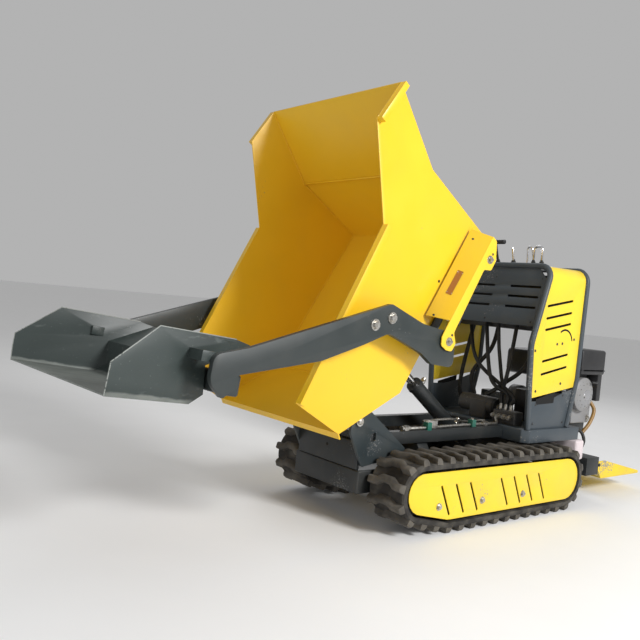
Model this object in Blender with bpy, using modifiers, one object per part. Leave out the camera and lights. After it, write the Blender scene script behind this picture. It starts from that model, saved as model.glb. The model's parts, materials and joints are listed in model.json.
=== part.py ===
"""Self-loading tracked mini dumper, standing with its skip tipped forward.

The front faces -Y, the machine's left side is +X and the ground is Z = 0. Everything on
the chassis is laid out in the chassis frame, whose Y is shifted so that the machine's box
is centred on the origin. The skip is drawn level, in a frame on its hinge (rearward, up),
and the arms are drawn with the shovel's floor level, in a frame on their pivot.
"""

import math

import bmesh
import bpy
from mathutils import Matrix, Vector

# Fits
GAP = 0.0003  # between pieces that touch
MOVING_GAP = 0.005  # between pieces that move past each other
PIN_GAP = 0.0005  # radial, pin in its eye
STRAIGHT = 0.01  # radians; less of a turn than this counts as none

# Chassis
DECK_HALF = 0.175
DECK_FRONT_Y = -0.440
DECK_TOP = 0.355
DECK_DEPTH = 0.050
RAIL_WIDTH = 0.035
CROSS_WIDTH = 0.050
FRONT_PLATE = 0.016
FRONT_PLATE_LOW = 0.220
FRONT_BOX_LOW = 0.130
FRONT_BOX_LENGTH = 0.180
AXLE_BEAM_WIDTH = 0.060
AXLE_BEAM_Y = (-0.090, 0.500)
AXLE_BEAM_LOW = 0.135
AXLE_BEAM_ARM = 0.065

# Tracks, one loop of rubber a side
TRACK_WIDTH = 0.180
TRACK_TO_DECK = 0.025
BELT = 0.022
LUG = 0.020
LUG_PITCH = 0.073
IDLER_Y = -0.295
IDLER_Z = 0.165
IDLER_R = 0.088
SPROCKET_Y = 0.652
SPROCKET_R = 0.103
ROLLER_R = 0.036
FIRST_ROLLER_Y = -0.140
LAST_ROLLER_Y = 0.500
ROLLERS = 4
FORK = 0.006
FRAME_LOW = 0.095
FRAME_HIGH = 0.205
WHEEL_HALF = 0.050
TRACK_AXLE_R = 0.018
SPROCKET_TEETH = 11
COVER_PLATE = 0.004
COVER_INSET = 0.004
COVER_MARGIN = 0.012
COVER_SLOT = 0.010
COVER_SLOT_LOW = 0.075
COVER_SLOT_HEIGHT = 0.110
COVER_SLOT_LEAN = 0.055
COVER_SLOTS = ((3, -0.139, 0.0845), (4, 0.226, 0.0873))  # how many, the first's Y, their pitch
COVER_BOLT_Y = (-0.190, 0.068, 0.339)
COVER_BOLT_Z = 0.110

# Skip, level, from its hinge
HINGE_Y = -0.475
HINGE_Z = 0.405
TIP = math.radians(59.0)
SKIP_HALF = 0.367
SKIP_WALL = 0.004
SKIP_FLOOR = 0.058
SKIP_PROFILE = (
    (-0.132, 0.220),
    (0.123, SKIP_FLOOR),
    (0.832, SKIP_FLOOR),
    (0.833, 0.420),
    (0.955, 0.720),
    (0.784, 0.728),
    (0.533, 0.489),
    (-0.139, 0.438),
)
HOLLOW_PAST_RIM = 0.050
HOLLOW_TOP = 1.200
RIM_HEIGHT = 0.022
RIM_WIDTH = 0.022
LIP_RETURN = 0.022
SUBFRAME_X = 0.155
SUBFRAME_PLATE = 0.012
SUBFRAME_LOW = 0.012
SUBFRAME_REAR = 0.620
SUBFRAME_BAR = 0.128  # from the ram's eye to the bar in front of it
HINGE_PIN_R = 0.012
HINGE_LUG_R = 0.028
HINGE_PLATE = 0.012

# Ram that tips the skip
TIP_ANCHOR = (0.345, 0.270)
TIP_EYE = (0.375, 0.018)
TIP_BARREL_R = 0.032
TIP_ROD_R = 0.018
TIP_BARREL = 0.420
TIP_ROD = 0.420
TIP_EYE_R = 0.026
TIP_EYE_HALF = 0.014
TIP_PIN_R = 0.011
EAR = 0.010

# Arms and shovel, level, from the arm pivot
PIVOT = (0.359, 0.044)
SHOVEL_NOSE_UP = math.radians(6.8)
RAM_HINGE = (0.719, 0.047)
CRANK = (0.034, -0.059)
BRACKET_PLATE = 0.008
BRACKET_COVER = 0.004
BRACKET_END = 0.0775  # past the ram's pin
COVER_BEND = 0.0415  # from the arm's pin up to the bend
COVER_FOOT = (0.0110, 0.0895)  # outwards from the wall, up from the arm's pin
COVER_SLOPE_FRONT = (0.064, 0.047)  # at the bend, at the foot
ARM = 0.020
ARM_PIN_R = 0.011
ARM_RAM_R = 0.019
ARM_ROD_R = 0.010
ARM_BARREL = 0.262
ARM_ROD = 0.240
ARM_EYE_R = 0.017
ARM_EYE_HALF = 0.009
CRANK_PIN_R = 0.009
ARM_PROFILE = (
    (-0.935, -0.184),
    (-0.823, -0.148),
    (-0.300, 0.078),
    (-0.136, 0.040),
    (0.000, 0.034),
    (0.046, -0.020),
    (0.056, -0.088),
    (-0.061, -0.090),
    (-0.120, -0.061),
    (-0.293, -0.020),
    (-0.394, -0.073),
    (-0.557, -0.149),
    (-0.846, -0.230),
    (-0.839, -0.260),
    (-0.886, -0.302),
    (-0.935, -0.262),
)
ARM_ROUNDING = (
    0.030, 0.2, 0.020, 0.1, 0.030, 0.025, 0.025, 0.02,
    0.05, 0.04, 0.1, 0.1, 0.006, 0.004, 0.008, 0.05,
)
SHOVEL_WALL = 0.005
SHOVEL_SIDE = (
    (0.383, -1.198, -0.338),
    (0.345, -0.928, -0.337),
    (0.335, -0.881, -0.306),
    (0.335, -0.892, -0.222),
    (0.319, -0.736, -0.149),
    (0.322, -0.793, -0.133),
    (0.368, -1.071, -0.135),
    (0.390, -1.200, -0.248),
    (0.389, -1.200, -0.290),
)
CROSS_TUBE = (0.055, 0.062)
CROSS_TUBE_AT = (-0.8475, -0.262)
STUB = (0.044, 0.030)
STUB_AT = (-0.940, -0.192)

# Tower
TRAY_HALF = 0.300
TRAY_FRONT_Y = 0.425
TRAY_REAR_Y = 0.845
TRAY_LOW = 0.298
TRAY_TOP = 0.358
TRAY_CORNER = 0.028
POST_X = 0.285
TUBE_R = 0.0135
HOOP_FRONT = ((0.447, TRAY_TOP), (0.414, 0.735), (0.520, 1.086))
HOOP_REAR = ((0.748, TRAY_TOP), (0.800, 0.580), (0.812, 1.092))
HOOP_CORNER = 0.060
KNEE_R = 0.090
SHEET = 0.003
SIDE_PANEL_FRONT_Z = 0.495
SIDE_PANEL_REAR_Z = 0.548
PANEL_SLOT = 0.011
PANEL_SLOTS = (0.603, 0.661, 0.802, 0.853, 0.908)
PANEL_SLOT_START = 0.512
PANEL_SLOT_LENGTH = 0.190
PANEL_SLOT_RISE = 0.036
FRONT_PANEL_LOW = 0.812
FRONT_SLOTS_Z = (0.894, 0.942, 0.988)
FRONT_SLOTS_X = ((-0.250, 0.000), (0.095, 0.250))

# Engine, hydraulics and step
ENGINE_BED_REAR = 1.100
ENGINE = ((-0.100, 0.235), (0.875, 1.050), 0.205)
RECOIL_AT = (0.925, 0.505)
RECOIL_R = 0.082
RECOIL_DEPTH = 0.040
CLEANER = ((0.060, 0.262), (0.880, 1.095), (0.600, 0.722))
TANK = ((0.020, 0.290), (0.855, 0.925), (0.195, 0.290))
REAR_BAR = ((-0.285, 0.285), (0.975, 1.085), (0.110, 0.196))
UPRIGHT = 0.040
STEP_HALF = 0.270
STEP_HINGE = (1.120, 0.150)
STEP_LENGTH = 0.405
STEP_PLATE = 0.008
STEP_LOW = 0.080
STEP_PIN_R = 0.008

# Worked out from the sizes above
TRACK_IN = DECK_HALF + TRACK_TO_DECK
TRACK_OUT = TRACK_IN + TRACK_WIDTH
TRACK_MID = (TRACK_IN + TRACK_OUT) / 2
TREAD = BELT + LUG
SPROCKET_Z = SPROCKET_R + TREAD
ROLLER_Z = ROLLER_R + TREAD
RAM_X = SKIP_HALF + GAP + BRACKET_PLATE + MOVING_GAP + ARM_RAM_R
ARM_IN = RAM_X + ARM_RAM_R + MOVING_GAP
ARM_OUT = ARM_IN + ARM
COVER_IN = ARM_OUT + MOVING_GAP
ARM_REST = -TIP - SHOVEL_NOSE_UP

PARTS = bpy.data.collections.new("tracked_mini_dumper")
CUTTERS = bpy.data.collections.new("cutters")


def clear_scene():
    for item in list(bpy.data.objects):
        bpy.data.objects.remove(item, do_unlink=True)
    for collection in (PARTS, CUTTERS):
        bpy.context.scene.collection.children.link(collection)
    CUTTERS.hide_render = True


def finish(name, colour, roughness, metallic=0.0):
    """A painted, plated or moulded finish."""
    material = bpy.data.materials.new(name)
    material.use_nodes = True
    shader = material.node_tree.nodes["Principled BSDF"]
    shader.inputs["Base Color"].default_value = (*colour, 1.0)
    shader.inputs["Roughness"].default_value = roughness
    shader.inputs["Metallic"].default_value = metallic
    return material


def add(name, mesh, material, parent, matrix=None):
    """A node of the machine, placed in its parent's frame."""
    piece = bpy.data.objects.new(name, mesh)
    mesh.materials.append(material)
    PARTS.objects.link(piece)
    piece.parent = parent
    piece.matrix_local = matrix or Matrix()
    return piece


def helper(mesh, parent, matrix=None):
    """A solid that only cuts or adds to a node."""
    piece = bpy.data.objects.new("helper", mesh)
    CUTTERS.objects.link(piece)
    piece.parent = parent
    piece.matrix_local = matrix or Matrix()
    piece.hide_render = True
    piece.display_type = "WIRE"
    return piece


def combine(piece, other, operation):
    modifier = piece.modifiers.new(operation.lower(), "BOOLEAN")
    modifier.operation = operation
    modifier.object = other
    modifier.solver = "EXACT"


def frame_at(name, parent, place, turn=0.0):
    """An empty on a joint's axis, which lies along X."""
    empty = bpy.data.objects.new(name, None)
    PARTS.objects.link(empty)
    empty.parent = parent
    empty.location = place
    empty.rotation_euler = (turn, 0.0, 0.0)
    return empty


def fillet(before, corner, after, radius, steps):
    """Points along the arc that rounds one corner of a path."""
    back = before - corner
    ahead = after - corner
    half = back.angle(ahead) / 2
    longest = 0.45 * min(back.length, ahead.length)
    radius = min(radius, longest * math.tan(half))
    middle = corner + (back.normalized() + ahead.normalized()).normalized() * radius / math.sin(half)
    reach = radius / math.tan(half)
    first = corner + back.normalized() * reach - middle
    last = corner + ahead.normalized() * reach - middle
    turn = first.angle(last)
    points = []
    for step in range(steps + 1):
        share = step / steps
        swept = first * math.sin((1 - share) * turn) + last * math.sin(share * turn)
        points.append(middle + swept / math.sin(turn))
    return points


def rounded(points, radii, closed=True, steps=5):
    """A path with its corners rounded. A radius of 0 keeps a corner sharp."""
    corners = [Vector(point).to_3d() for point in points]
    if not isinstance(radii, (tuple, list)):
        radii = [radii] * len(corners)
    path = []
    for index, corner in enumerate(corners):
        end = not closed and index in (0, len(corners) - 1)
        if end or radii[index] == 0:
            path.append(corner)
            continue
        after = corners[(index + 1) % len(corners)]
        path.extend(fillet(corners[index - 1], corner, after, radii[index], steps))
    return path


def circle(centre, radius, count=28):
    angles = [2 * math.pi * step / count for step in range(count)]
    return [Vector((centre[0] + radius * math.cos(a), centre[1] + radius * math.sin(a), 0)) for a in angles]


def slot(start, end, width, steps=5):
    """The outline of a slot with round ends."""
    start = Vector(start).to_3d()
    end = Vector(end).to_3d()
    heading = math.atan2(end.y - start.y, end.x - start.x)
    points = []
    for centre, first in ((end, heading - math.pi / 2), (start, heading + math.pi / 2)):
        for step in range(steps + 1):
            angle = first + math.pi * step / steps
            points.append(centre + Vector((math.cos(angle), math.sin(angle), 0)) * width / 2)
    return points


def mesh_of_curve(curve):
    """The closed mesh of a curve, its caps welded to its sides."""
    holder = bpy.data.objects.new("curve", curve)
    bpy.context.scene.collection.objects.link(holder)
    bpy.context.view_layer.update()
    graph = bpy.context.evaluated_depsgraph_get()
    mesh = bpy.data.meshes.new_from_object(holder.evaluated_get(graph))
    bpy.data.objects.remove(holder, do_unlink=True)
    shape = bmesh.new()
    shape.from_mesh(mesh)
    bmesh.ops.remove_doubles(shape, verts=shape.verts, dist=0.00001)
    bmesh.ops.recalc_face_normals(shape, faces=shape.faces)
    shape.to_mesh(mesh)
    shape.free()
    return mesh


def sheet_mesh(outline, thickness, holes=()):
    """A flat plate in local XY with holes, its middle plane at Z = 0."""
    curve = bpy.data.curves.new("outline", "CURVE")
    curve.dimensions = "2D"
    curve.fill_mode = "BOTH"
    curve.extrude = thickness / 2
    for path in (outline, *holes):
        spline = curve.splines.new("POLY")
        spline.points.add(len(path) - 1)
        for point, place in zip(spline.points, path):
            point.co = (place[0], place[1], 0.0, 1.0)
        spline.use_cyclic_u = True
    return mesh_of_curve(curve)


def across(x):
    """Stands a flat plate up: its outline in (Y, Z), its thickness along X, centred on x."""
    turn = Matrix(((0, 0, 1, x), (1, 0, 0, 0), (0, 1, 0, 0), (0, 0, 0, 1)))
    return turn


def facing_front(y):
    """Stands a flat plate up: its outline in (X, Z), its thickness along Y, centred on y."""
    return Matrix(((1, 0, 0, 0), (0, 0, -1, y), (0, 1, 0, 0), (0, 0, 0, 1)))


def tube_mesh(path, radius, resolution=2):
    curve = bpy.data.curves.new("tube", "CURVE")
    curve.dimensions = "3D"
    curve.bevel_depth = radius
    curve.bevel_resolution = resolution
    curve.use_fill_caps = True
    spline = curve.splines.new("POLY")
    spline.points.add(len(path) - 1)
    for point, place in zip(spline.points, path):
        point.co = (*place, 1.0)
    return mesh_of_curve(curve)


def box_mesh(x, y, z, edge=0.0):
    """A box between low and high values, its outer edges rounded by edge."""
    shape = bmesh.new()
    bmesh.ops.create_cube(shape, size=1.0)
    size = Vector((x[1] - x[0], y[1] - y[0], z[1] - z[0]))
    middle = Vector((sum(x), sum(y), sum(z))) / 2
    bmesh.ops.scale(shape, vec=size, verts=shape.verts)
    bmesh.ops.translate(shape, vec=middle, verts=shape.verts)
    if edge:
        bmesh.ops.bevel(shape, geom=shape.edges[:], offset=edge, segments=2, affect="EDGES", profile=0.5)
    mesh = bpy.data.meshes.new("box")
    shape.to_mesh(mesh)
    shape.free()
    return mesh


def pin_mesh(x, at, radius, count=24):
    """A round bar along X between two values, its centre at (Y, Z)."""
    shape = bmesh.new()
    matrix = Matrix.Translation((sum(x) / 2, at[0], at[1])) @ Matrix.Rotation(math.pi / 2, 4, "Y")
    bmesh.ops.create_cone(
        shape,
        cap_ends=True,
        segments=count,
        radius1=radius,
        radius2=radius,
        depth=x[1] - x[0],
        matrix=matrix,
    )
    mesh = bpy.data.meshes.new("pin")
    shape.to_mesh(mesh)
    shape.free()
    smooth(mesh)
    return mesh


def smooth(mesh):
    mesh.shade_smooth()
    mesh.set_sharp_from_angle(angle=math.radians(30))


def turned(name, profile, material, parent, matrix, steps=24, closed=False):
    """A turned piece about its local Z, its profile (radius, height) run down the outer side."""
    mesh = bpy.data.meshes.new(name)
    shape = bmesh.new()
    corners = [shape.verts.new((radius, 0.0, height)) for radius, height in profile]
    for first, second in zip(corners, corners[1:]):
        shape.edges.new((first, second))
    if closed:
        shape.edges.new((corners[-1], corners[0]))
    shape.to_mesh(mesh)
    shape.free()
    piece = add(name, mesh, material, parent, matrix)
    screw = piece.modifiers.new("turn", "SCREW")
    screw.steps = steps
    screw.render_steps = steps
    screw.use_merge_vertices = True
    screw.merge_threshold = 0.0001
    screw.use_smooth_shade = False
    return piece


def sides():
    return (("left", 1), ("right", -1))


# Undercarriage


def tangent(first, second):
    """The straight run that leaves one wheel and reaches the next, going round them anticlockwise."""
    (start, start_r), (end, end_r) = first, second
    line = end - start
    heading = math.atan2(line.y, line.x)
    angle = heading - math.acos((start_r - end_r) / line.length)
    normal = Vector((math.cos(angle), math.sin(angle)))
    return start + normal * start_r, end + normal * end_r, angle


def belt_stations(wheels, count):
    """Evenly spaced (point, outward normal) pairs along a belt's inner face."""
    runs = [tangent(wheel, wheels[(index + 1) % len(wheels)]) for index, wheel in enumerate(wheels)]
    legs = []
    for index, (start, end, angle) in enumerate(runs):
        legs.append(("run", start, end, angle, (end - start).length))
        centre, radius = wheels[(index + 1) % len(wheels)]
        turn = (runs[(index + 1) % len(runs)][2] - angle) % (2 * math.pi)
        legs.append(("arc", centre, radius, angle, radius * turn))
    length = sum(leg[-1] for leg in legs)
    stations = []
    for step in range(count):
        along = length * step / count
        for kind, first, second, angle, reach in legs:
            if along <= reach:
                break
            along -= reach
        if kind == "run":
            normal = Vector((math.cos(angle), math.sin(angle)))
            stations.append((first.lerp(second, along / reach), normal))
        else:
            angle += along / second
            normal = Vector((math.cos(angle), math.sin(angle)))
            stations.append((first + normal * second, normal))
    return stations, length


def track_wheels():
    return (
        (Vector((SPROCKET_Y, SPROCKET_Z)), SPROCKET_R),
        (Vector((IDLER_Y, IDLER_Z)), IDLER_R),
        (Vector((FIRST_ROLLER_Y, ROLLER_Z)), ROLLER_R),
    )


def sag(radius):
    """How far the belt's straight facets cut inside the wheel they go round."""
    return (LUG_PITCH * 0.3) ** 2 / (8 * radius)


def tracks(chassis, rubber):
    """Each track is one closed belt with its lugs in its outline."""
    length = belt_stations(track_wheels(), 1)[1]
    lugs = round(length / LUG_PITCH)
    stations = belt_stations(track_wheels(), lugs * 4)[0]
    heights = (BELT, TREAD, TREAD, BELT)
    outline = [point + normal * heights[index % 4] for index, (point, normal) in enumerate(stations)]
    inner = [point for point, normal in stations]
    for side, sign in sides():
        mesh = sheet_mesh(outline, TRACK_WIDTH, [inner])
        add(f"track_{side}", mesh, rubber, chassis, across(sign * TRACK_MID))


def track_frames(chassis, paint):
    """A box beam with a fork at each end, the wheels' axles and the rollers."""
    for side, sign in sides():
        low = TRACK_MID - WHEEL_HALF - GAP
        high = TRACK_MID + WHEEL_HALF + GAP
        beam_y = (IDLER_Y + IDLER_R + 0.015, SPROCKET_Y - SPROCKET_R - 0.015)
        beam = box_mesh(ordered(sign * low, sign * high), beam_y, (FRAME_LOW, FRAME_HIGH))
        frame = add(f"track_frame_{side}", beam, paint, chassis)
        for x in (low - FORK / 2, high + FORK / 2):
            ends = [
                (beam_y[0], FRAME_LOW),
                (SPROCKET_Y, SPROCKET_Z - 0.035),
                (SPROCKET_Y + 0.035, SPROCKET_Z),
                (SPROCKET_Y, SPROCKET_Z + 0.035),
                (beam_y[0], FRAME_HIGH),
                (IDLER_Y, IDLER_Z + 0.035),
                (IDLER_Y - 0.035, IDLER_Z),
                (IDLER_Y, IDLER_Z - 0.035),
            ]
            cheek = sheet_mesh(ends, FORK + 2 * GAP)
            combine(frame, helper(cheek, chassis, across(sign * x)), "UNION")
        span = ordered(sign * (low - FORK), sign * (high + FORK))
        for at in ((IDLER_Y, IDLER_Z), (SPROCKET_Y, SPROCKET_Z)):
            combine(frame, helper(pin_mesh(span, at, TRACK_AXLE_R), chassis), "UNION")
        for index in range(ROLLERS):
            y = FIRST_ROLLER_Y + (LAST_ROLLER_Y - FIRST_ROLLER_Y) * index / (ROLLERS - 1)
            roller = pin_mesh(ordered(sign * low, sign * high), (y, ROLLER_Z + GAP), ROLLER_R - GAP)
            combine(frame, helper(roller, chassis), "UNION")


def ordered(first, second):
    return (min(first, second), max(first, second))


def wheels(chassis, iron):
    """Smooth idlers at the front and toothed sprockets at the rear, inside the belts."""
    for side, sign in sides():
        bore = circle((IDLER_Y, IDLER_Z), TRACK_AXLE_R + PIN_GAP, 24)
        rim = circle((IDLER_Y, IDLER_Z), IDLER_R - sag(IDLER_R) - GAP, 40)
        mesh = sheet_mesh(rim, 2 * WHEEL_HALF - 2 * GAP, [bore])
        add(f"front_idler_{side}", mesh, iron, chassis, across(sign * TRACK_MID))
        teeth = []
        for step in range(4 * SPROCKET_TEETH):
            angle = 2 * math.pi * step / (4 * SPROCKET_TEETH)
            reach = SPROCKET_R - sag(SPROCKET_R) - GAP - (0.018 if step % 4 > 1 else 0.0)
            teeth.append((SPROCKET_Y + reach * math.cos(angle), SPROCKET_Z + reach * math.sin(angle)))
        bore = circle((SPROCKET_Y, SPROCKET_Z), TRACK_AXLE_R + PIN_GAP, 24)
        mesh = sheet_mesh(teeth, 2 * WHEEL_HALF - 2 * GAP, [bore])
        add(f"drive_sprocket_{side}", mesh, iron, chassis, across(sign * TRACK_MID))


def track_covers(chassis, yellow):
    """The slotted plate that closes each track's outer side, on three stand-offs."""
    inside = (
        (Vector((SPROCKET_Y, SPROCKET_Z)), SPROCKET_R - COVER_MARGIN),
        (Vector((IDLER_Y, IDLER_Z)), IDLER_R - COVER_MARGIN),
        (Vector((FIRST_ROLLER_Y, ROLLER_Z)), ROLLER_R - COVER_MARGIN),
    )
    stations = belt_stations(inside, 96)[0]
    ahead = stations[1:] + stations[:1]
    behind = stations[-1:] + stations[:-1]
    outline = []
    for here, last, after in zip(stations, behind, ahead):
        if last[1].angle(after[1]) > STRAIGHT:
            outline.append(here[0])
    slots = []
    for count, first, pitch in COVER_SLOTS:
        for index in range(count):
            # Each slot is a hair higher than the last, so that no corners of the sheet line up.
            foot = Vector((first + index * pitch, COVER_SLOT_LOW + 0.0001 * len(slots)))
            head = foot + Vector((-COVER_SLOT_LEAN, COVER_SLOT_HEIGHT))
            slots.append(slot(foot, head, COVER_SLOT))
    outer = TRACK_OUT - COVER_INSET
    for side, sign in sides():
        mesh = sheet_mesh(outline, COVER_PLATE, slots)
        cover = add(f"track_cover_{side}", mesh, yellow, chassis, across(sign * (outer - COVER_PLATE / 2)))
        inner = TRACK_MID + WHEEL_HALF + FORK + 3 * GAP
        span = ordered(sign * inner, sign * (outer - COVER_PLATE / 2))
        for y in COVER_BOLT_Y:
            combine(cover, helper(pin_mesh(span, (y, COVER_BOLT_Z), 0.011, 16), chassis), "UNION")


# Chassis


def deck_frame(chassis, paint):
    """A ladder frame, with the ears and the pin that the tipping ram swings on."""
    rear = TRAY_FRONT_Y - GAP
    low = DECK_TOP - DECK_DEPTH
    outline = [
        (-DECK_HALF, DECK_FRONT_Y),
        (DECK_HALF, DECK_FRONT_Y),
        (DECK_HALF, rear),
        (-DECK_HALF, rear),
    ]
    inner = DECK_HALF - RAIL_WIDTH
    window = [
        (-inner, DECK_FRONT_Y + CROSS_WIDTH),
        (inner, DECK_FRONT_Y + CROSS_WIDTH),
        (inner, rear - CROSS_WIDTH / 2),
        (-inner, rear - CROSS_WIDTH / 2),
    ]
    mesh = sheet_mesh(outline, DECK_DEPTH, [window])
    frame = add("deck_frame", mesh, paint, chassis, Matrix.Translation((0, 0, low + DECK_DEPTH / 2)))
    near = TIP_EYE_HALF + MOVING_GAP
    anchor = Vector(TIP_ANCHOR)
    for sign in (1, -1):
        ear = sheet_mesh(
            [
                (anchor.x - 0.018, anchor.y - 0.018),
                (anchor.x + 0.018, anchor.y - 0.018),
                (rear - 0.002, low + 0.002),
                (rear - 0.002, DECK_TOP - 0.002),
                (rear - 0.020, DECK_TOP - 0.002),
                (anchor.x - 0.018, anchor.y + 0.018),
            ],
            EAR,
        )
        combine(frame, helper(ear, chassis, across(sign * (near + EAR / 2))), "UNION")
    reach = near + EAR / 2
    combine(frame, helper(pin_mesh((-reach, reach), TIP_ANCHOR, TIP_PIN_R), chassis), "UNION")


def front_pieces(chassis, paint, dark):
    y = DECK_FRONT_Y - GAP
    plate = box_mesh((-DECK_HALF, DECK_HALF), (y - FRONT_PLATE, y), (FRONT_PLATE_LOW, DECK_TOP - 0.030))
    add("front_cross_plate", plate, paint, chassis)
    high = FRONT_PLATE_LOW - GAP
    half = DECK_HALF + 0.015
    length = (y - FRONT_PLATE, y - FRONT_PLATE + FRONT_BOX_LENGTH)
    box = box_mesh((-half, half), length, (FRONT_BOX_LOW, high), 0.006)
    add("front_box", box, dark, chassis)


def hinge_brackets(chassis, paint):
    """Plates on the deck's rails with the pins that the skip tips on."""
    hinge = Vector((HINGE_Y, HINGE_Z))
    rail_low = DECK_TOP - DECK_DEPTH
    outline = rounded(
        [
            (DECK_FRONT_Y, FRONT_PLATE_LOW + 0.012),
            (HINGE_Y + 0.260, rail_low - 0.040),
            (HINGE_Y + 0.260, rail_low - 0.012),
            (HINGE_Y + 0.060, HINGE_Z + 0.036),
            (HINGE_Y - 0.030, HINGE_Z + 0.036),
            (HINGE_Y - 0.036, HINGE_Z - 0.040),
        ],
        (0.010, 0.010, 0.010, 0.012, 0.030, 0.020),
    )
    key = rounded(
        [
            (HINGE_Y + 0.070, 0.322),
            (HINGE_Y + 0.096, 0.328),
            (HINGE_Y + 0.096, 0.362),
            (HINGE_Y + 0.070, 0.356),
        ],
        0.008,
        steps=3,
    )
    for side, sign in sides():
        mesh = sheet_mesh(outline, HINGE_PLATE, [key])
        inner = DECK_HALF + GAP
        plate = add(f"hinge_bracket_{side}", mesh, paint, chassis, across(sign * (inner + HINGE_PLATE / 2)))
        span = ordered(sign * (SUBFRAME_X - SUBFRAME_PLATE), sign * (inner + HINGE_PLATE + 0.006))
        combine(plate, helper(pin_mesh(span, hinge, HINGE_PIN_R), chassis), "UNION")


def axle_beams(chassis, paint):
    """Cross members that carry the deck on the track frames."""
    reach = TRACK_MID - WHEEL_HALF - FORK - 3 * GAP
    inner = DECK_HALF - 0.015
    beams = (("front", AXLE_BEAM_Y[0], DECK_TOP - DECK_DEPTH), ("rear", AXLE_BEAM_Y[1], TRAY_LOW))
    for name, y, under in beams:
        outline = [
            (-reach, AXLE_BEAM_LOW),
            (reach, AXLE_BEAM_LOW),
            (reach, AXLE_BEAM_LOW + AXLE_BEAM_ARM),
            (inner, under - GAP),
            (-inner, under - GAP),
            (-reach, AXLE_BEAM_LOW + AXLE_BEAM_ARM),
        ]
        mesh = sheet_mesh(outline, AXLE_BEAM_WIDTH)
        add(f"axle_beam_{name}", mesh, paint, chassis, facing_front(y))


# Tower and what stands on it


def base_tray(chassis, paint):
    outline = [
        (-TRAY_HALF, TRAY_FRONT_Y + TRAY_CORNER),
        (-TRAY_HALF + TRAY_CORNER, TRAY_FRONT_Y),
        (TRAY_HALF - TRAY_CORNER, TRAY_FRONT_Y),
        (TRAY_HALF, TRAY_FRONT_Y + TRAY_CORNER),
        (TRAY_HALF, TRAY_REAR_Y),
        (-TRAY_HALF, TRAY_REAR_Y),
    ]
    mesh = sheet_mesh(outline, TRAY_TOP - TRAY_LOW)
    add("base_tray", mesh, paint, chassis, Matrix.Translation((0, 0, (TRAY_TOP + TRAY_LOW) / 2)))


def hoop_corners(keys, low=None):
    """A hoop's corners up one post and down the other, from a height up the posts."""
    foot, knee, top = keys
    if low is None:
        lean = math.atan2(abs(knee[0] - foot[0]), knee[1] - foot[1])
        low = foot[1] + GAP + TUBE_R * math.sin(lean)
    share = (low - foot[1]) / (knee[1] - foot[1])
    start = (foot[0] + (knee[0] - foot[0]) * share, low)
    up = [(POST_X, *start), (POST_X, *knee), (POST_X, *top)]
    return up + [(-x, y, z) for x, y, z in reversed(up)]


def hoops(chassis, paint):
    radii = (0, KNEE_R, HOOP_CORNER, HOOP_CORNER, KNEE_R, 0)
    for name, keys in (("front", HOOP_FRONT), ("rear", HOOP_REAR)):
        path = rounded(hoop_corners(keys), radii, closed=False, steps=6)
        mesh = tube_mesh(path, TUBE_R, 3)
        smooth(mesh)
        add(f"tower_hoop_{name}", mesh, paint, chassis)


def side_panels(chassis, yellow):
    """Slotted sheets between the hoops, wrapped over the tower's upper corners."""
    radii = (0, KNEE_R, HOOP_CORNER, 0)
    inset = TUBE_R + 0.0015
    front = hoop_corners(HOOP_FRONT, SIDE_PANEL_FRONT_Z)[:3]
    rear = hoop_corners(HOOP_REAR, SIDE_PANEL_REAR_Z)[:3]
    edges = []
    for corners in (front, rear):
        inner = (POST_X - 2 * HOOP_CORNER, *corners[-1][1:])
        edges.append(rounded([*corners, inner], radii, closed=False, steps=6))
    for side, sign in sides():
        shape = bmesh.new()
        rows = []
        for ahead, behind in zip(*edges):
            along = (behind - ahead).normalized() * inset
            ends = (ahead + along, behind - along)
            rows.append([shape.verts.new((sign * point.x, point.y, point.z)) for point in ends])
        for lower, upper in zip(rows, rows[1:]):
            quad = (lower[0], lower[1], upper[1], upper[0])
            shape.faces.new(quad if sign > 0 else quad[::-1])
        mesh = bpy.data.meshes.new("panel")
        shape.to_mesh(mesh)
        shape.free()
        panel = add(f"side_panel_{side}", mesh, yellow, chassis)
        solidify = panel.modifiers.new("sheet", "SOLIDIFY")
        solidify.thickness = SHEET
        solidify.offset = 0.0
        for z in PANEL_SLOTS:
            start = (PANEL_SLOT_START, z)
            end = (PANEL_SLOT_START + PANEL_SLOT_LENGTH, z + PANEL_SLOT_RISE)
            cutter = sheet_mesh(slot(start, end, PANEL_SLOT), 0.030)
            combine(panel, helper(cutter, chassis, across(sign * POST_X)), "DIFFERENCE")


def tower_side_plates(chassis, paint):
    """Plain plates at the foot of the tower, between the posts."""
    inset = TUBE_R + 0.0015
    low = TRAY_TOP + GAP
    outline = [
        (HOOP_FRONT[0][0] + inset, low),
        (HOOP_REAR[0][0] - inset, low),
        (hoop_y(HOOP_REAR, SIDE_PANEL_REAR_Z - 0.012) - inset, SIDE_PANEL_REAR_Z - 0.012),
        (hoop_y(HOOP_REAR, SIDE_PANEL_REAR_Z - 0.012) - inset - 0.060, SIDE_PANEL_REAR_Z - 0.024),
        (0.640, 0.500),
        (0.540, 0.482),
        (hoop_y(HOOP_FRONT, SIDE_PANEL_FRONT_Z - 0.012) + inset, SIDE_PANEL_FRONT_Z - 0.012),
    ]
    for side, sign in sides():
        mesh = sheet_mesh(outline, SHEET)
        add(f"tower_side_plate_{side}", mesh, paint, chassis, across(sign * POST_X))


def hoop_y(keys, z):
    """Where a hoop's post is at a height, below its knee."""
    foot, knee, top = keys
    return foot[0] + (knee[0] - foot[0]) * (z - foot[1]) / (knee[1] - foot[1])


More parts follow.
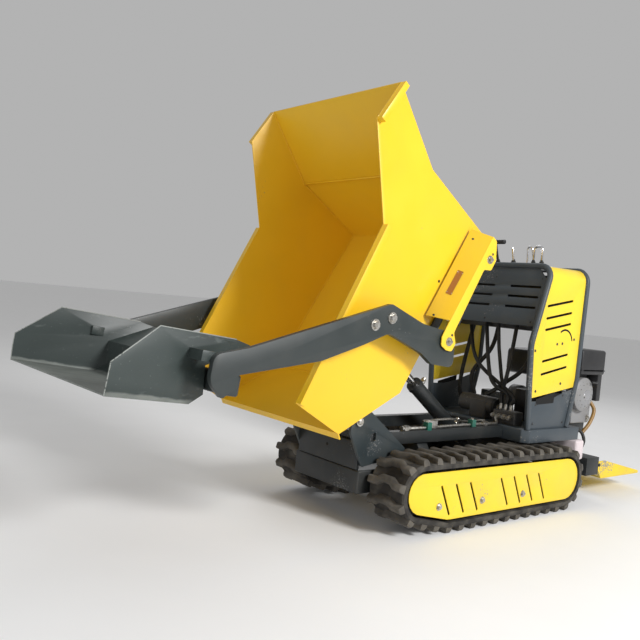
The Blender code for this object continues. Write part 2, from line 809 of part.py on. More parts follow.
def front_panel(chassis, paint):
    """The leaning, slotted sheet between the front hoop's posts."""
    knee = Vector(HOOP_FRONT[1])
    top = Vector(HOOP_FRONT[2])
    lean = math.atan2(top.x - knee.x, top.y - knee.y)
    half = POST_X - TUBE_R - 0.0015
    low = (FRONT_PANEL_LOW - knee.y) / math.cos(lean)
    high = (top - knee).length - TUBE_R - 0.0015
    corner = 0.045
    outline = [
        (-half, low),
        (half, low),
        (half, high - corner),
        (half - corner, high),
        (corner - half, high),
        (-half, high - corner),
    ]
    slots = []
    for z in FRONT_SLOTS_Z:
        rise = (z - knee.y) / math.cos(lean)
        for left, right in FRONT_SLOTS_X:
            slots.append(slot((left, rise), (right, rise), PANEL_SLOT))
    mesh = sheet_mesh(outline, SHEET, slots)
    matrix = Matrix.Translation((0, knee.x, knee.y)) @ Matrix.Rotation(-lean, 4, "X") @ facing_front(0)
    add("front_panel", mesh, paint, chassis, matrix)


def console(chassis, paint, black, chrome):
    """The top plate and the hand levers that stand on it."""
    front = Vector(HOOP_FRONT[2])
    rear = Vector(HOOP_REAR[2])
    inset = TUBE_R + 0.0015
    half = POST_X - 2 * HOOP_CORNER - 0.0015
    outline = [
        (-half, front.x + inset),
        (half, front.x + inset),
        (half, rear.x - inset),
        (-half, rear.x - inset),
    ]
    mesh = sheet_mesh(outline, SHEET)
    z = (front.y + rear.y) / 2
    add("console_top", mesh, paint, chassis, Matrix.Translation((0, 0, z)))
    low = z + SHEET / 2 + GAP
    bends = [(-0.075, 0.600, low), (-0.075, 0.600, low + 0.010), (-0.078, 0.570, low + 0.105)]
    stem = tube_mesh(bends, 0.006)
    tip = add("tip_lever", stem, black, chassis)
    grip = tube_mesh([(-0.125, 0.569, low + 0.110), (-0.025, 0.569, low + 0.110)], 0.011)
    combine(tip, helper(grip, chassis), "UNION")
    stem = tube_mesh([(0.015, 0.600, low), (0.015, 0.600, low + 0.010), (0.015, 0.580, low + 0.085)], 0.0055)
    add("lift_lever", stem, chrome, chassis)
    corners = [
        (0.110, 0.620, low),
        (0.110, 0.620, low + 0.095),
        (0.155, 0.620, low + 0.095),
        (0.155, 0.620, low),
    ]
    handle = tube_mesh(rounded(corners, (0, 0.018, 0.018, 0), closed=False), 0.006)
    add("drive_handle", handle, chrome, chassis)


# Engine and hydraulics


def engine(chassis, paint, iron, black, silver):
    length = (TRAY_REAR_Y + GAP, ENGINE_BED_REAR)
    bed = box_mesh((-DECK_HALF, DECK_HALF), length, (DECK_TOP - DECK_DEPTH, DECK_TOP))
    add("engine_bed", bed, paint, chassis)
    low = DECK_TOP + GAP
    x, y, height = ENGINE
    add("engine_block", box_mesh(x, y, (low, low + height), 0.012), iron, chassis)
    face = x[1] + GAP
    profile = [
        (0.0, RECOIL_DEPTH),
        (RECOIL_R * 0.55, RECOIL_DEPTH),
        (RECOIL_R, RECOIL_DEPTH * 0.6),
        (RECOIL_R, 0.0),
        (0.0, 0.0),
    ]
    matrix = Matrix.Translation((face, *RECOIL_AT)) @ Matrix.Rotation(math.pi / 2, 4, "Y")
    turned("recoil_cover", profile, silver, chassis, matrix, 32)
    (x0, x1), (y0, y1), (z0, z1) = CLEANER
    cleaner = add("air_cleaner", box_mesh((x0, x1), (y0, y1), (z0, z1), 0.012), black, chassis)
    leg_low = low + height + GAP
    neck = box_mesh((x0 + 0.030, x[1] - 0.030), (y0 + 0.030, y[1] - 0.020), (leg_low, z0 + 0.010))
    combine(cleaner, helper(neck, chassis), "UNION")
    drop = box_mesh((x0 + 0.020, x1 - 0.010), (y[1] + 0.005, y1 - 0.004), (0.470, z0 + 0.012), 0.004)
    combine(cleaner, helper(drop, chassis), "UNION")
    fuel = box_mesh((x[0] - 0.080, x0 - MOVING_GAP), (y0, y1 - 0.020), (leg_low, leg_low + 0.130), 0.022)
    add("fuel_tank", fuel, black, chassis)
    end = x[0] - GAP
    profile = [(0.0, 0.070), (0.045, 0.070), (0.050, 0.062), (0.050, 0.008), (0.045, 0.0), (0.0, 0.0)]
    place = Matrix.Translation((end - 0.070, y[0] + 0.080, low + 0.090))
    matrix = place @ Matrix.Rotation(math.pi / 2, 4, "Y")
    turned("muffler", profile, iron, chassis, matrix, 28)


def hydraulics(chassis, iron, tank_grey, silver, black):
    x, y, z = TANK
    add("hydraulic_tank", box_mesh(x, y, z, 0.010), tank_grey, chassis)
    low = TRAY_TOP + GAP
    housing = box_mesh((-0.060, 0.030), (0.470, 0.560), (low, low + 0.085), 0.006)
    pump = add("hydraulic_pump", housing, iron, chassis)
    motor = pin_mesh((-0.130, 0.060), (0.515, low + 0.062), 0.042)
    combine(pump, helper(motor, chassis), "UNION")
    add("valve_block", box_mesh((0.090, 0.210), (0.455, 0.520), (low, low + 0.060), 0.004), iron, chassis)
    rail = DECK_HALF - 0.014
    top = DECK_TOP + 0.007 + GAP
    run = [
        (rail, -0.215, top),
        (rail, -0.060, top),
        (rail - 0.012, 0.100, top),
        (rail - 0.012, TRAY_FRONT_Y - 0.010, top),
        (rail - 0.040, TRAY_FRONT_Y + 0.040, TRAY_TOP + 0.030),
        (rail - 0.040, 0.455 - GAP, TRAY_TOP + 0.030),
    ]
    run[-2] = (rail - 0.040, TRAY_FRONT_Y + 0.010, TRAY_TOP + 0.030)
    pipe = tube_mesh(rounded(run, 0.030, closed=False, steps=4), 0.007)
    add("side_pipe", pipe, silver, chassis)
    hose = [
        (0.030, 0.500, FRONT_PANEL_LOW + 0.060),
        (0.050, 0.505, 0.700),
        (0.085, 0.500, 0.560),
        (0.135, 0.490, low + 0.085),
        (0.135, 0.490, low + 0.060 + GAP),
    ]
    mesh = tube_mesh(rounded(hose, 0.300, closed=False, steps=6), 0.009)
    add("console_hose", mesh, black, chassis)


def rear_bar(chassis, dark):
    """The rear cross bar, hung from the engine bed, with the step's hinge lugs and pins."""
    x, y, z = REAR_BAR
    bar = add("rear_bar", box_mesh(x, y, z), dark, chassis)
    top = DECK_TOP - DECK_DEPTH - GAP
    for sign in (1, -1):
        upright = ordered(sign * 0.080, sign * (0.080 + UPRIGHT))
        post = box_mesh(upright, (y[0] + 0.015, y[1] - 0.015), (z[1] - 0.010, top))
        combine(bar, helper(post, chassis), "UNION")
        lug_in = STEP_HALF - STEP_PLATE - MOVING_GAP - EAR
        lug = sheet_mesh(
            rounded(
                [
                    (y[1] - 0.012, STEP_HINGE[1] - 0.016),
                    (STEP_HINGE[0] + 0.016, STEP_HINGE[1] - 0.016),
                    (STEP_HINGE[0] + 0.016, STEP_HINGE[1] + 0.016),
                    (y[1] - 0.012, STEP_HINGE[1] + 0.016),
                ],
                (0, 0.014, 0.014, 0),
            ),
            EAR,
        )
        combine(bar, helper(lug, chassis, across(sign * (lug_in + EAR / 2))), "UNION")
        span = ordered(sign * (lug_in + 0.002), sign * (STEP_HALF + 0.003))
        combine(bar, helper(pin_mesh(span, STEP_HINGE, STEP_PIN_R, 20), chassis), "UNION")


def step(chassis, yellow):
    """The fold-down stand-on step: a plate between two tapering cheeks."""
    hinge = frame_at("step_hinge", chassis, (0.0, *STEP_HINGE))
    floor = STEP_LOW - STEP_HINGE[1]
    front = 0.028
    cheek = rounded(
        [
            (-0.018, -0.012),
            (front, floor),
            (STEP_LENGTH, floor),
            (STEP_LENGTH, floor + 0.014),
            (0.060, 0.018),
            (-0.018, 0.018),
        ],
        (0.010, 0.006, 0, 0.004, 0.030, 0.014),
    )
    bore = circle((0, 0), STEP_PIN_R + PIN_GAP, 20)
    plate = box_mesh((-STEP_HALF, STEP_HALF), (front + 0.004, STEP_LENGTH), (floor, floor + STEP_PLATE))
    platform = add("step_platform", plate, yellow, hinge)
    for sign in (1, -1):
        mesh = sheet_mesh(cheek, STEP_PLATE, [bore])
        combine(platform, helper(mesh, hinge, across(sign * (STEP_HALF - STEP_PLATE / 2))), "UNION")


# Skip


def skip(hinge, yellow):
    """The sheet-metal skip: floor, rising spout, two-facet back wall and side walls."""
    body = add("skip", sheet_mesh(list(SKIP_PROFILE), 2 * SKIP_HALF), yellow, hinge, across(0.0))
    hollow = sheet_mesh(skip_hollow(), 2 * (SKIP_HALF - SKIP_WALL))
    combine(body, helper(hollow, hinge, across(0.0)), "DIFFERENCE")
    inner = SKIP_HALF - SKIP_WALL / 2
    for first, second in ((4, 5), (6, 7)):
        rim = rim_mesh(Vector(SKIP_PROFILE[first]), Vector(SKIP_PROFILE[second]))
        for sign in (1, -1):
            middle = sign * (inner + (RIM_WIDTH + SKIP_WALL / 2) / 2)
            combine(body, helper(rim, hinge, across(middle)), "UNION")
    lip = Vector(SKIP_PROFILE[0])
    back = (Vector(SKIP_PROFILE[1]) - lip).normalized()
    down = Vector((back.y, -back.x))
    top = lip - down * SKIP_WALL / 2
    foot = lip + down * LIP_RETURN
    face = [top + back * 0.001, top + back * 0.005, foot + back * 0.005, foot + back * 0.001]
    strip = sheet_mesh(face, 2 * SKIP_HALF - 2 * SKIP_WALL)
    combine(body, helper(strip, hinge, across(0.0)), "UNION")


def skip_hollow():
    """The outline of the room inside the skip's floor and end walls, open well above its rims."""
    corners = [Vector(point) for point in SKIP_PROFILE[:5]]
    lines = []
    for start, end in zip(corners, corners[1:]):
        along = (end - start).normalized()
        lines.append((start + Vector((-along.y, along.x)) * SKIP_WALL, along))
    points = [lines[0][0] - lines[0][1] * HOLLOW_PAST_RIM]
    for (first, heading), (second, turned_to) in zip(lines, lines[1:]):
        cross = heading.x * turned_to.y - heading.y * turned_to.x
        gap = second - first
        points.append(first + heading * ((gap.x * turned_to.y - gap.y * turned_to.x) / cross))
    reach = (corners[4] - corners[3]).length + HOLLOW_PAST_RIM
    points.append(lines[3][0] + lines[3][1] * reach)
    points.append(Vector((points[-1].x, HOLLOW_TOP)))
    points.append(Vector((points[0].x, HOLLOW_TOP)))
    return [tuple(point) for point in points]


def rim_mesh(start, end):
    """A folded rim that lies along one edge of a side wall, inside its corners."""
    along = (end - start).normalized()
    down = Vector((-along.y, along.x))
    first = start + down * 0.0005 + along * 0.001
    last = end + down * 0.0005 - along * 0.001
    outline = [first, last, last + down * RIM_HEIGHT, first + down * RIM_HEIGHT]
    return sheet_mesh(outline, RIM_WIDTH + SKIP_WALL / 2)


def skip_subframe(hinge, dark):
    """Two rails with hinge lugs under the floor, a cross bar and the ears for the ram."""
    floor = SKIP_FLOOR - GAP
    spout = Vector(SKIP_PROFILE[1])
    rise = (Vector(SKIP_PROFILE[0]) - spout).normalized()
    below = Vector((-rise.y, rise.x))
    under = spout + rise * 0.110 + below * (2 * GAP)
    outline = rounded(
        [
            (0.0, -HINGE_LUG_R),
            (0.070, SUBFRAME_LOW),
            (SUBFRAME_REAR, SUBFRAME_LOW),
            (SUBFRAME_REAR, floor),
            (spout.x, floor),
            tuple(under),
            (-HINGE_LUG_R, 0.040),
            (-HINGE_LUG_R, -HINGE_LUG_R),
        ],
        (0, 0.020, 0.008, 0, 0, 0.006, 0.020, 0.027),
    )
    bore = circle((0, 0), HINGE_PIN_R + PIN_GAP, 24)
    mesh = sheet_mesh(outline, SUBFRAME_PLATE, [bore])
    frame = add("skip_subframe", mesh, dark, hinge, across(SUBFRAME_X))
    combine(frame, helper(mesh.copy(), hinge, across(-SUBFRAME_X)), "UNION")
    reach = SUBFRAME_X
    for y in (TIP_EYE[0] - SUBFRAME_BAR, SUBFRAME_REAR - 0.060):
        bar = box_mesh((-reach, reach), (y - 0.020, y + 0.020), (floor - 0.026, floor - GAP))
        combine(frame, helper(bar, hinge), "UNION")
    near = TIP_ROD_R + MOVING_GAP
    for sign in (1, -1):
        ear = sheet_mesh(
            rounded(
                [
                    (TIP_EYE[0] - SUBFRAME_BAR, floor - 0.010),
                    (TIP_EYE[0] - 0.020, TIP_EYE[1] - 0.020),
                    (TIP_EYE[0] + 0.020, TIP_EYE[1] - 0.020),
                    (TIP_EYE[0] + 0.020, floor - 0.010),
                ],
                (0, 0.018, 0.018, 0),
            ),
            EAR,
        )
        combine(frame, helper(ear, hinge, across(sign * (near + EAR / 2))), "UNION")


def bracket_outline(margin):
    """The arm bracket's outline from the arm pivot, with a lobe at each pin."""
    length = RAM_HINGE[0] - PIVOT[0]
    end = length + BRACKET_END + margin
    top = COVER_BEND + margin
    return rounded(
        [
            (-0.032, -0.006),
            (-0.020, -0.034),
            (0.014, -0.034),
            (0.040, -0.002),
            (length - 0.048, 0.006),
            (length - 0.026, -0.028),
            (length + 0.018, -0.028),
            (end, 0.014),
            (end, top),
            (-0.006, top),
            (-0.032, 0.026),
        ],
        (0.012, 0.012, 0.012, 0.012, 0.012, 0.012, 0.012, 0.012, 0.001, 0.010, 0.012),
        steps=3,
    )


def arm_brackets(hinge, dark, yellow):
    """A plate on each side wall with the arm's pin and the ram's pin, and a cover outside them."""
    length = RAM_HINGE[0] - PIVOT[0]
    rise = RAM_HINGE[1] - PIVOT[1]
    move = Matrix.Translation((0, *PIVOT))
    for side, sign in sides():
        inner = SKIP_HALF + GAP
        mesh = sheet_mesh(bracket_outline(-0.006), BRACKET_PLATE)
        place = move @ across(sign * (inner + BRACKET_PLATE / 2))
        plate = add(f"arm_bracket_{side}", mesh, dark, hinge, place)
        span = ordered(sign * (inner + BRACKET_PLATE / 2), sign * (COVER_IN - GAP))
        for at in ((0.0, 0.0), (length, rise)):
            combine(plate, helper(pin_mesh(span, at, ARM_PIN_R), hinge, move), "UNION")
        mesh = sheet_mesh(bracket_outline(0.0), BRACKET_COVER)
        place = move @ across(sign * (COVER_IN + BRACKET_COVER / 2))
        cover = add(f"bracket_cover_{side}", mesh, yellow, hinge, place)
        combine(cover, helper(cover_slope(sign), hinge, move), "UNION")


def cover_slope(sign):
    """The part of a cover that is bent back to the skip's wall, from the arm's pin."""
    bend = Vector((COVER_IN + BRACKET_COVER, COVER_BEND - 0.0015))
    foot = Vector((SKIP_HALF + COVER_FOOT[0], COVER_FOOT[1]))
    along = (foot - bend).normalized()
    inward = Vector((-along.y, along.x)) * BRACKET_COVER
    section = [bend, foot, foot + inward, bend + inward]
    fronts = (COVER_SLOPE_FRONT[0], COVER_SLOPE_FRONT[1], COVER_SLOPE_FRONT[1], COVER_SLOPE_FRONT[0])
    rear = RAM_HINGE[0] - PIVOT[0] + BRACKET_END - 0.0005
    shape = bmesh.new()
    low = [shape.verts.new((sign * at.x, y, at.y)) for at, y in zip(section, fronts)]
    high = [shape.verts.new((sign * at.x, rear, at.y)) for at in section]
    shape.faces.new(low)
    shape.faces.new(high)
    for index in range(len(section)):
        after = (index + 1) % len(section)
        shape.faces.new((low[index], low[after], high[after], high[index]))
    bmesh.ops.recalc_face_normals(shape, faces=shape.faces)
    mesh = bpy.data.meshes.new("slope")
    shape.to_mesh(mesh)
    shape.free()
    return mesh


# Arms and shovel


def arms(pivot, dark):
    outline = rounded(ARM_PROFILE, ARM_ROUNDING)
    bore = circle((0, 0), ARM_PIN_R + PIN_GAP, 24)
    for side, sign in sides():
        mesh = sheet_mesh(outline, ARM, [bore])
        arm = add(f"arm_{side}", mesh, dark, pivot, across(sign * (ARM_IN + ARM / 2)))
        inner = RAM_X + ARM_ROD_R + 0.002
        span = ordered(sign * inner, sign * (ARM_IN + ARM / 2))
        combine(arm, helper(pin_mesh(span, CRANK, CRANK_PIN_R, 20), pivot), "UNION")


def shovel(pivot, dark):
    """The sheet-metal shovel, wider at its mouth, with stubs out to the arms."""
    shape = bmesh.new()
    left = [shape.verts.new(point) for point in SHOVEL_SIDE]
    right = [shape.verts.new((-x, y, z)) for x, y, z in SHOVEL_SIDE]
    for corners, turn in ((left, 1), (right, -1)):
        lower = (corners[0], corners[1], corners[2], corners[3], corners[8])
        upper = (corners[8], corners[3], corners[4], corners[5], corners[6], corners[7])
        shape.faces.new(lower[::turn])
        shape.faces.new(upper[::turn])
    for index in range(4):
        shape.faces.new((left[index + 1], left[index], right[index], right[index + 1]))
    mesh = bpy.data.meshes.new("shovel")
    shape.to_mesh(mesh)
    shape.free()
    body = add("shovel", mesh, dark, pivot)
    solidify = body.modifiers.new("sheet", "SOLIDIFY")
    solidify.thickness = SHOVEL_WALL
    solidify.offset = -1.0
    solidify.use_even_offset = True
    wall = SHOVEL_SIDE[3][0] - SHOVEL_WALL / 2
    y = (STUB_AT[0] - STUB[0] / 2, STUB_AT[0] + STUB[0] / 2)
    z = (STUB_AT[1] - STUB[1] / 2, STUB_AT[1] + STUB[1] / 2)
    for sign in (1, -1):
        stub = box_mesh(ordered(sign * wall, sign * (ARM_IN - GAP)), y, z)
        combine(body, helper(stub, pivot), "UNION")


def cross_tube(pivot, dark):
    """The square tube that ties the arms' front ends behind the shovel."""
    reach = ARM_IN - GAP
    y = (CROSS_TUBE_AT[0] - CROSS_TUBE[0] / 2, CROSS_TUBE_AT[0] + CROSS_TUBE[0] / 2)
    z = (CROSS_TUBE_AT[1] - CROSS_TUBE[1] / 2, CROSS_TUBE_AT[1] + CROSS_TUBE[1] / 2)
    add("arm_cross_tube", box_mesh((-reach, reach), y, z, 0.006), dark, pivot)


# Rams


def ram(name, frame, x, sizes, length, black, chrome):
    """A barrel that swings on its pin and a rod that slides in it, along the frame's +Y."""
    barrel_r, rod_r, barrel, rod, eye_r, eye_half, pin_r = sizes
    along = Matrix.Translation((x, 0, 0)) @ Matrix.Rotation(-math.pi / 2, 4, "X")
    floor = eye_r + 0.012
    bore = rod_r + PIN_GAP
    profile = [
        (0.0, floor),
        (bore, floor),
        (bore, barrel),
        (barrel_r * 0.86, barrel),
        (barrel_r, barrel - 0.008),
        (barrel_r, eye_r + 0.002),
        (0.0, eye_r + 0.002),
    ]
    body = turned(f"{name}_barrel", profile, black, frame, along)
    neck = eye_r + 0.006
    combine(body, helper(eye_mesh(eye_r, eye_half, pin_r, neck), frame, across(x)), "UNION")
    slide = frame_at(f"{name}_slide", frame, (0.0, length, 0.0))
    start = eye_r * 0.8
    profile = [(0.0, rod), (rod_r, rod), (rod_r, start), (0.0, start)]
    back = Matrix.Translation((x, 0, 0)) @ Matrix.Rotation(math.pi / 2, 4, "X")
    piece = turned(f"{name}_rod", profile, chrome, slide, back)
    combine(piece, helper(eye_mesh(eye_r, eye_half, pin_r), slide, across(x)), "UNION")


def eye_mesh(radius, half, pin_r, neck=None):
    """A round eye, with a neck that reaches out to Y = neck where one is asked for."""
    hole = circle((0, 0), pin_r + PIN_GAP, 20)
    outline = circle((0, 0), radius, 28)
    if neck:
        back = [point for point in outline if point.x < 0]
        back.sort(key=lambda point: math.atan2(point.y, -point.x), reverse=True)
        outline = [(neck, 0.85 * radius), *back, (neck, -0.85 * radius)]
    return sheet_mesh(outline, 2 * half, [hole])


def tip_ram(chassis, black, chrome):
    """The ram under the skip, from the deck to the skip's ears."""
    eye = Vector(TIP_EYE)
    tipped = Vector((
        HINGE_Y + eye.x * math.cos(TIP) - eye.y * math.sin(TIP),
        HINGE_Z + eye.x * math.sin(TIP) + eye.y * math.cos(TIP),
    ))
    line = tipped - Vector(TIP_ANCHOR)
    frame = frame_at("tip_ram_hinge", chassis, (0.0, *TIP_ANCHOR), math.atan2(line.y, line.x))
    sizes = (TIP_BARREL_R, TIP_ROD_R, TIP_BARREL, TIP_ROD, TIP_EYE_R, TIP_EYE_HALF, TIP_PIN_R)
    ram("tip_ram", frame, 0.0, sizes, line.length, black, chrome)


def arm_rams(hinge, black, chrome):
    """The rams that lift the arms, from the brackets to the arms' cranks."""
    turn = Matrix.Rotation(ARM_REST, 2)
    crank = Vector(PIVOT) + turn @ Vector(CRANK)
    line = crank - Vector(RAM_HINGE)
    sizes = (ARM_RAM_R, ARM_ROD_R, ARM_BARREL, ARM_ROD, ARM_EYE_R, ARM_EYE_HALF, ARM_PIN_R)
    for side, sign in sides():
        frame = frame_at(f"arm_ram_{side}_hinge", hinge, (0.0, *RAM_HINGE), math.atan2(line.y, line.x))
        ram(f"arm_ram_{side}", frame, sign * RAM_X, sizes, line.length, black, chrome)


def world_y(point):
    """How far forward or back a point of the arms' frame lies in the chassis frame."""
    place = Matrix.Rotation(ARM_REST, 2) @ Vector(point)
    place = Matrix.Rotation(TIP, 2) @ (place + Vector(PIVOT))
    return HINGE_Y + place.x


def main():
    clear_scene()
    slate = finish("slate_paint", (0.085, 0.100, 0.115), 0.45)
    near_black = finish("chassis_black", (0.018, 0.022, 0.024), 0.5)
    shovel_grey = finish("shovel_grey", (0.045, 0.058, 0.055), 0.5)
    yellow = finish("skip_yellow", (0.900, 0.560, 0.030), 0.35)
    lemon = finish("cover_yellow", (0.950, 0.700, 0.040), 0.35)
    rubber = finish("track_rubber", (0.055, 0.050, 0.045), 0.85)
    iron = finish("cast_iron", (0.180, 0.180, 0.185), 0.5, 0.6)
    black = finish("black_plastic", (0.020, 0.020, 0.022), 0.4)
    chrome = finish("chrome", (0.700, 0.700, 0.720), 0.15, 1.0)
    silver = finish("silver_paint", (0.450, 0.450, 0.460), 0.35, 0.8)
    tank_grey = finish("tank_plastic", (0.520, 0.470, 0.480), 0.5)

    front = min(world_y(point[1:]) for point in SHOVEL_SIDE)
    rear = STEP_HINGE[0] + STEP_LENGTH
    chassis = bpy.data.objects.new("chassis", None)
    PARTS.objects.link(chassis)
    chassis.location = (0.0, -(front + rear) / 2, 0.0)
    hinge = frame_at("skip_hinge", chassis, (0.0, HINGE_Y, HINGE_Z), TIP)
    pivot = frame_at("arm_pivot", hinge, (0.0, *PIVOT), ARM_REST)

    deck_frame(chassis, near_black)
    front_pieces(chassis, near_black, near_black)
    hinge_brackets(chassis, near_black)
    axle_beams(chassis, near_black)
    tracks(chassis, rubber)
    track_frames(chassis, near_black)
    wheels(chassis, iron)
    track_covers(chassis, lemon)
    base_tray(chassis, slate)
    hoops(chassis, slate)
    tower_side_plates(chassis, slate)
    side_panels(chassis, lemon)
    front_panel(chassis, slate)
    console(chassis, slate, black, chrome)
    engine(chassis, near_black, iron, black, silver)
    hydraulics(chassis, iron, tank_grey, silver, black)
    rear_bar(chassis, near_black)
    step(chassis, lemon)
    skip(hinge, yellow)
    skip_subframe(hinge, near_black)
    arm_brackets(hinge, near_black, lemon)
    arms(pivot, shovel_grey)
    shovel(pivot, shovel_grey)
    cross_tube(pivot, shovel_grey)
    tip_ram(chassis, near_black, chrome)
    arm_rams(hinge, near_black, chrome)


main()
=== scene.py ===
import json
import math

import bmesh
import bpy
from mathutils import Matrix, Vector

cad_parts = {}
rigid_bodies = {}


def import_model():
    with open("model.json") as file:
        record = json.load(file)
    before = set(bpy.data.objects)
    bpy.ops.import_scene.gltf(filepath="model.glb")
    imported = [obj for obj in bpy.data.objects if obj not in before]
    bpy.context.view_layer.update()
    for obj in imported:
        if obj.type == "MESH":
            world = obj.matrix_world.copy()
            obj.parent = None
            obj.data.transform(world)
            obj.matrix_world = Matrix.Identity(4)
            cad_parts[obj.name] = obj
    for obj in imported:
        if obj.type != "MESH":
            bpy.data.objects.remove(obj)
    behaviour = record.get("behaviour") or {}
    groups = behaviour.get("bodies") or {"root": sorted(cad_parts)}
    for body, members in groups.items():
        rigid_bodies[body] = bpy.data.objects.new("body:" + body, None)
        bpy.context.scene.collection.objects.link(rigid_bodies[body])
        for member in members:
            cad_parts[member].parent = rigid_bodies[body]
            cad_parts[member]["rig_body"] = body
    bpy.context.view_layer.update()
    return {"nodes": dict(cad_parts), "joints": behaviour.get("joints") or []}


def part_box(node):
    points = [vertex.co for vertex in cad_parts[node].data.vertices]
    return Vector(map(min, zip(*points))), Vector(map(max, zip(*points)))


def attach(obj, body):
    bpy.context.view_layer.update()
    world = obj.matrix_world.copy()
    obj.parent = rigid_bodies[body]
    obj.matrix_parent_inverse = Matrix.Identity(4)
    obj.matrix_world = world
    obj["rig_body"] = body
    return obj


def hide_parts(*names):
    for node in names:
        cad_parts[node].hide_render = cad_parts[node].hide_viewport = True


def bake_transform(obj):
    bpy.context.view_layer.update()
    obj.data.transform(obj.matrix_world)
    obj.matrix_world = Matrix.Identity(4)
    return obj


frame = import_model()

nodes = frame["nodes"]
joints = {joint["name"]: joint for joint in frame["joints"]}

# The studio: a pale floor under three soft lights, the strongest high on the machine's left and
# weaker ones ahead of it and behind it. The camera stands low off the left front corner.

camera_azimuth = math.radians(50.33)
camera_elevation = math.radians(1.53)
camera_lean = math.radians(5.45)
back = Vector((
    math.sin(camera_azimuth) * math.cos(camera_elevation),
    -math.cos(camera_azimuth) * math.cos(camera_elevation),
    math.sin(camera_elevation),
))
level = (-back).cross(Vector((0, 0, 1))).normalized()
upright = level.cross(-back)
picture_right = level * math.cos(camera_lean) + upright * math.sin(camera_lean)
picture_up = upright * math.cos(camera_lean) - level * math.sin(camera_lean)
camera = bpy.data.objects.new("camera", bpy.data.cameras.new("camera"))
camera.data.lens = 41.4
camera.data.sensor_width = 36.0
bpy.context.scene.collection.objects.link(camera)
turn = Matrix((picture_right, picture_up, back)).transposed().to_4x4()
camera.matrix_world = Matrix.Translation((2.1592, -2.3266, 0.8381)) @ turn
bpy.context.scene.camera = camera
bpy.context.scene.view_settings.view_transform = "Standard"


def soft_light(name, place, target, size, power):
    light = bpy.data.lights.new(name, "AREA")
    light.size = size
    light.energy = power
    lamp = bpy.data.objects.new(name, light)
    bpy.context.scene.collection.objects.link(lamp)
    direction = Vector(target) - Vector(place)
    lamp.location = place
    lamp.rotation_euler = direction.to_track_quat("-Z", "Y").to_euler()


soft_light("key_light", (4.6, 0.3, 3.0), (0.0, -0.2, 0.8), 1.2, 250)
soft_light("fill_light", (0.5, -5.5, 2.2), (0.0, -0.4, 0.7), 3.0, 30)
soft_light("rim_light", (-3.0, 3.5, 3.5), (0.0, 0.2, 0.8), 2.5, 40)
world = bpy.data.worlds.new("studio")
world.use_nodes = True
world.node_tree.nodes["Background"].inputs["Color"].default_value = (1.0, 1.0, 1.0, 1.0)
world.node_tree.nodes["Background"].inputs["Strength"].default_value = 0.45
bpy.context.scene.world = world


def plain(name, colour, roughness, metallic=0.0):
    """A new material of one colour and gloss, with its node tree and its Principled shader."""
    material = bpy.data.materials.new(name)
    material.use_nodes = True
    shader = material.node_tree.nodes["Principled BSDF"]
    shader.inputs["Base Color"].default_value = (*colour, 1.0)
    shader.inputs["Roughness"].default_value = roughness
    shader.inputs["Metallic"].default_value = metallic
    return material, material.node_tree, shader


def clouds(tree, scale, detail=3.0, stretch=(1.0, 1.0, 1.0)):
    """Noise in the object's own coordinates, finer along an axis with more stretch."""
    place = tree.nodes.new("ShaderNodeTexCoord")
    mapping = tree.nodes.new("ShaderNodeMapping")
    mapping.inputs["Scale"].default_value = stretch
    tree.links.new(place.outputs["Object"], mapping.inputs["Vector"])
    noise = tree.nodes.new("ShaderNodeTexNoise")
    noise.inputs["Scale"].default_value = scale
    noise.inputs["Detail"].default_value = detail
    tree.links.new(mapping.outputs["Vector"], noise.inputs["Vector"])
    return noise.outputs["Fac"]


def between(tree, value, low, high, start=0.0, end=1.0):
    """Maps the stretch from low to high onto start to end, and holds the ends."""
    span = tree.nodes.new("ShaderNodeMapRange")
    span.inputs["From Min"].default_value = low
    span.inputs["From Max"].default_value = high
    span.inputs["To Min"].default_value = start
    span.inputs["To Max"].default_value = end
    tree.links.new(value, span.inputs["Value"])
    return span.outputs["Result"]


def two_colours(tree, share, first, second):
    """A mix of two colours, each a tuple or another node's output."""
    mix = tree.nodes.new("ShaderNodeMix")
    mix.data_type = "RGBA"
    tree.links.new(share, mix.inputs["Factor"])
    for socket, colour in ((mix.inputs["A"], first), (mix.inputs["B"], second)):
        if isinstance(colour, tuple):
            socket.default_value = (*colour, 1.0)
        else:
            tree.links.new(colour, socket)
    return mix.outputs["Result"]


def product(tree, first, second):
    multiply = tree.nodes.new("ShaderNodeMath")
    multiply.operation = "MULTIPLY"
    tree.links.new(first, multiply.inputs[0])
    tree.links.new(second, multiply.inputs[1])
    return multiply.outputs["Value"]


def relief(tree, shader, height, depth, strength=0.5):
    bump = tree.nodes.new("ShaderNodeBump")
    bump.inputs["Distance"].default_value = depth
    bump.inputs["Strength"].default_value = strength
    tree.links.new(height, bump.inputs["Height"])
    tree.links.new(bump.outputs["Normal"], shader.inputs["Normal"])


def floor_finish():
    material, tree, shader = plain("studio_floor", (0.86, 0.86, 0.86), 0.8)
    colour = two_colours(tree, clouds(tree, 3.0), (0.84, 0.84, 0.84), (0.88, 0.88, 0.88))
    tree.links.new(colour, shader.inputs["Base Color"])
    return material


def as_mesh(shape, name):
    mesh = bpy.data.meshes.new(name)
    shape.to_mesh(mesh)
    shape.free()
    return mesh


shape = bmesh.new()
bmesh.ops.create_grid(shape, x_segments=1, y_segments=1, size=60.0)
floor_mesh = as_mesh(shape, "floor")
floor_mesh.materials.append(floor_finish())
floor = bpy.data.objects.new("floor", floor_mesh)
bpy.context.scene.collection.objects.link(floor)


# The rubber tracks: an endless belt with a steel-cored body, moulded in one piece with zigzag
# lugs. It runs round the idler, the sprocket and the rollers, and its treads are dusty.

belt_thickness = 0.022
lug_height = 0.020
lug_count = 36
first_roller_behind_idler = 0.155
first_roller_radius = 0.036


def new_piece(name, mesh, material):
    piece = bpy.data.objects.new(name, mesh)
    mesh.materials.clear()
    mesh.materials.append(material)
    bpy.context.scene.collection.objects.link(piece)
    return piece


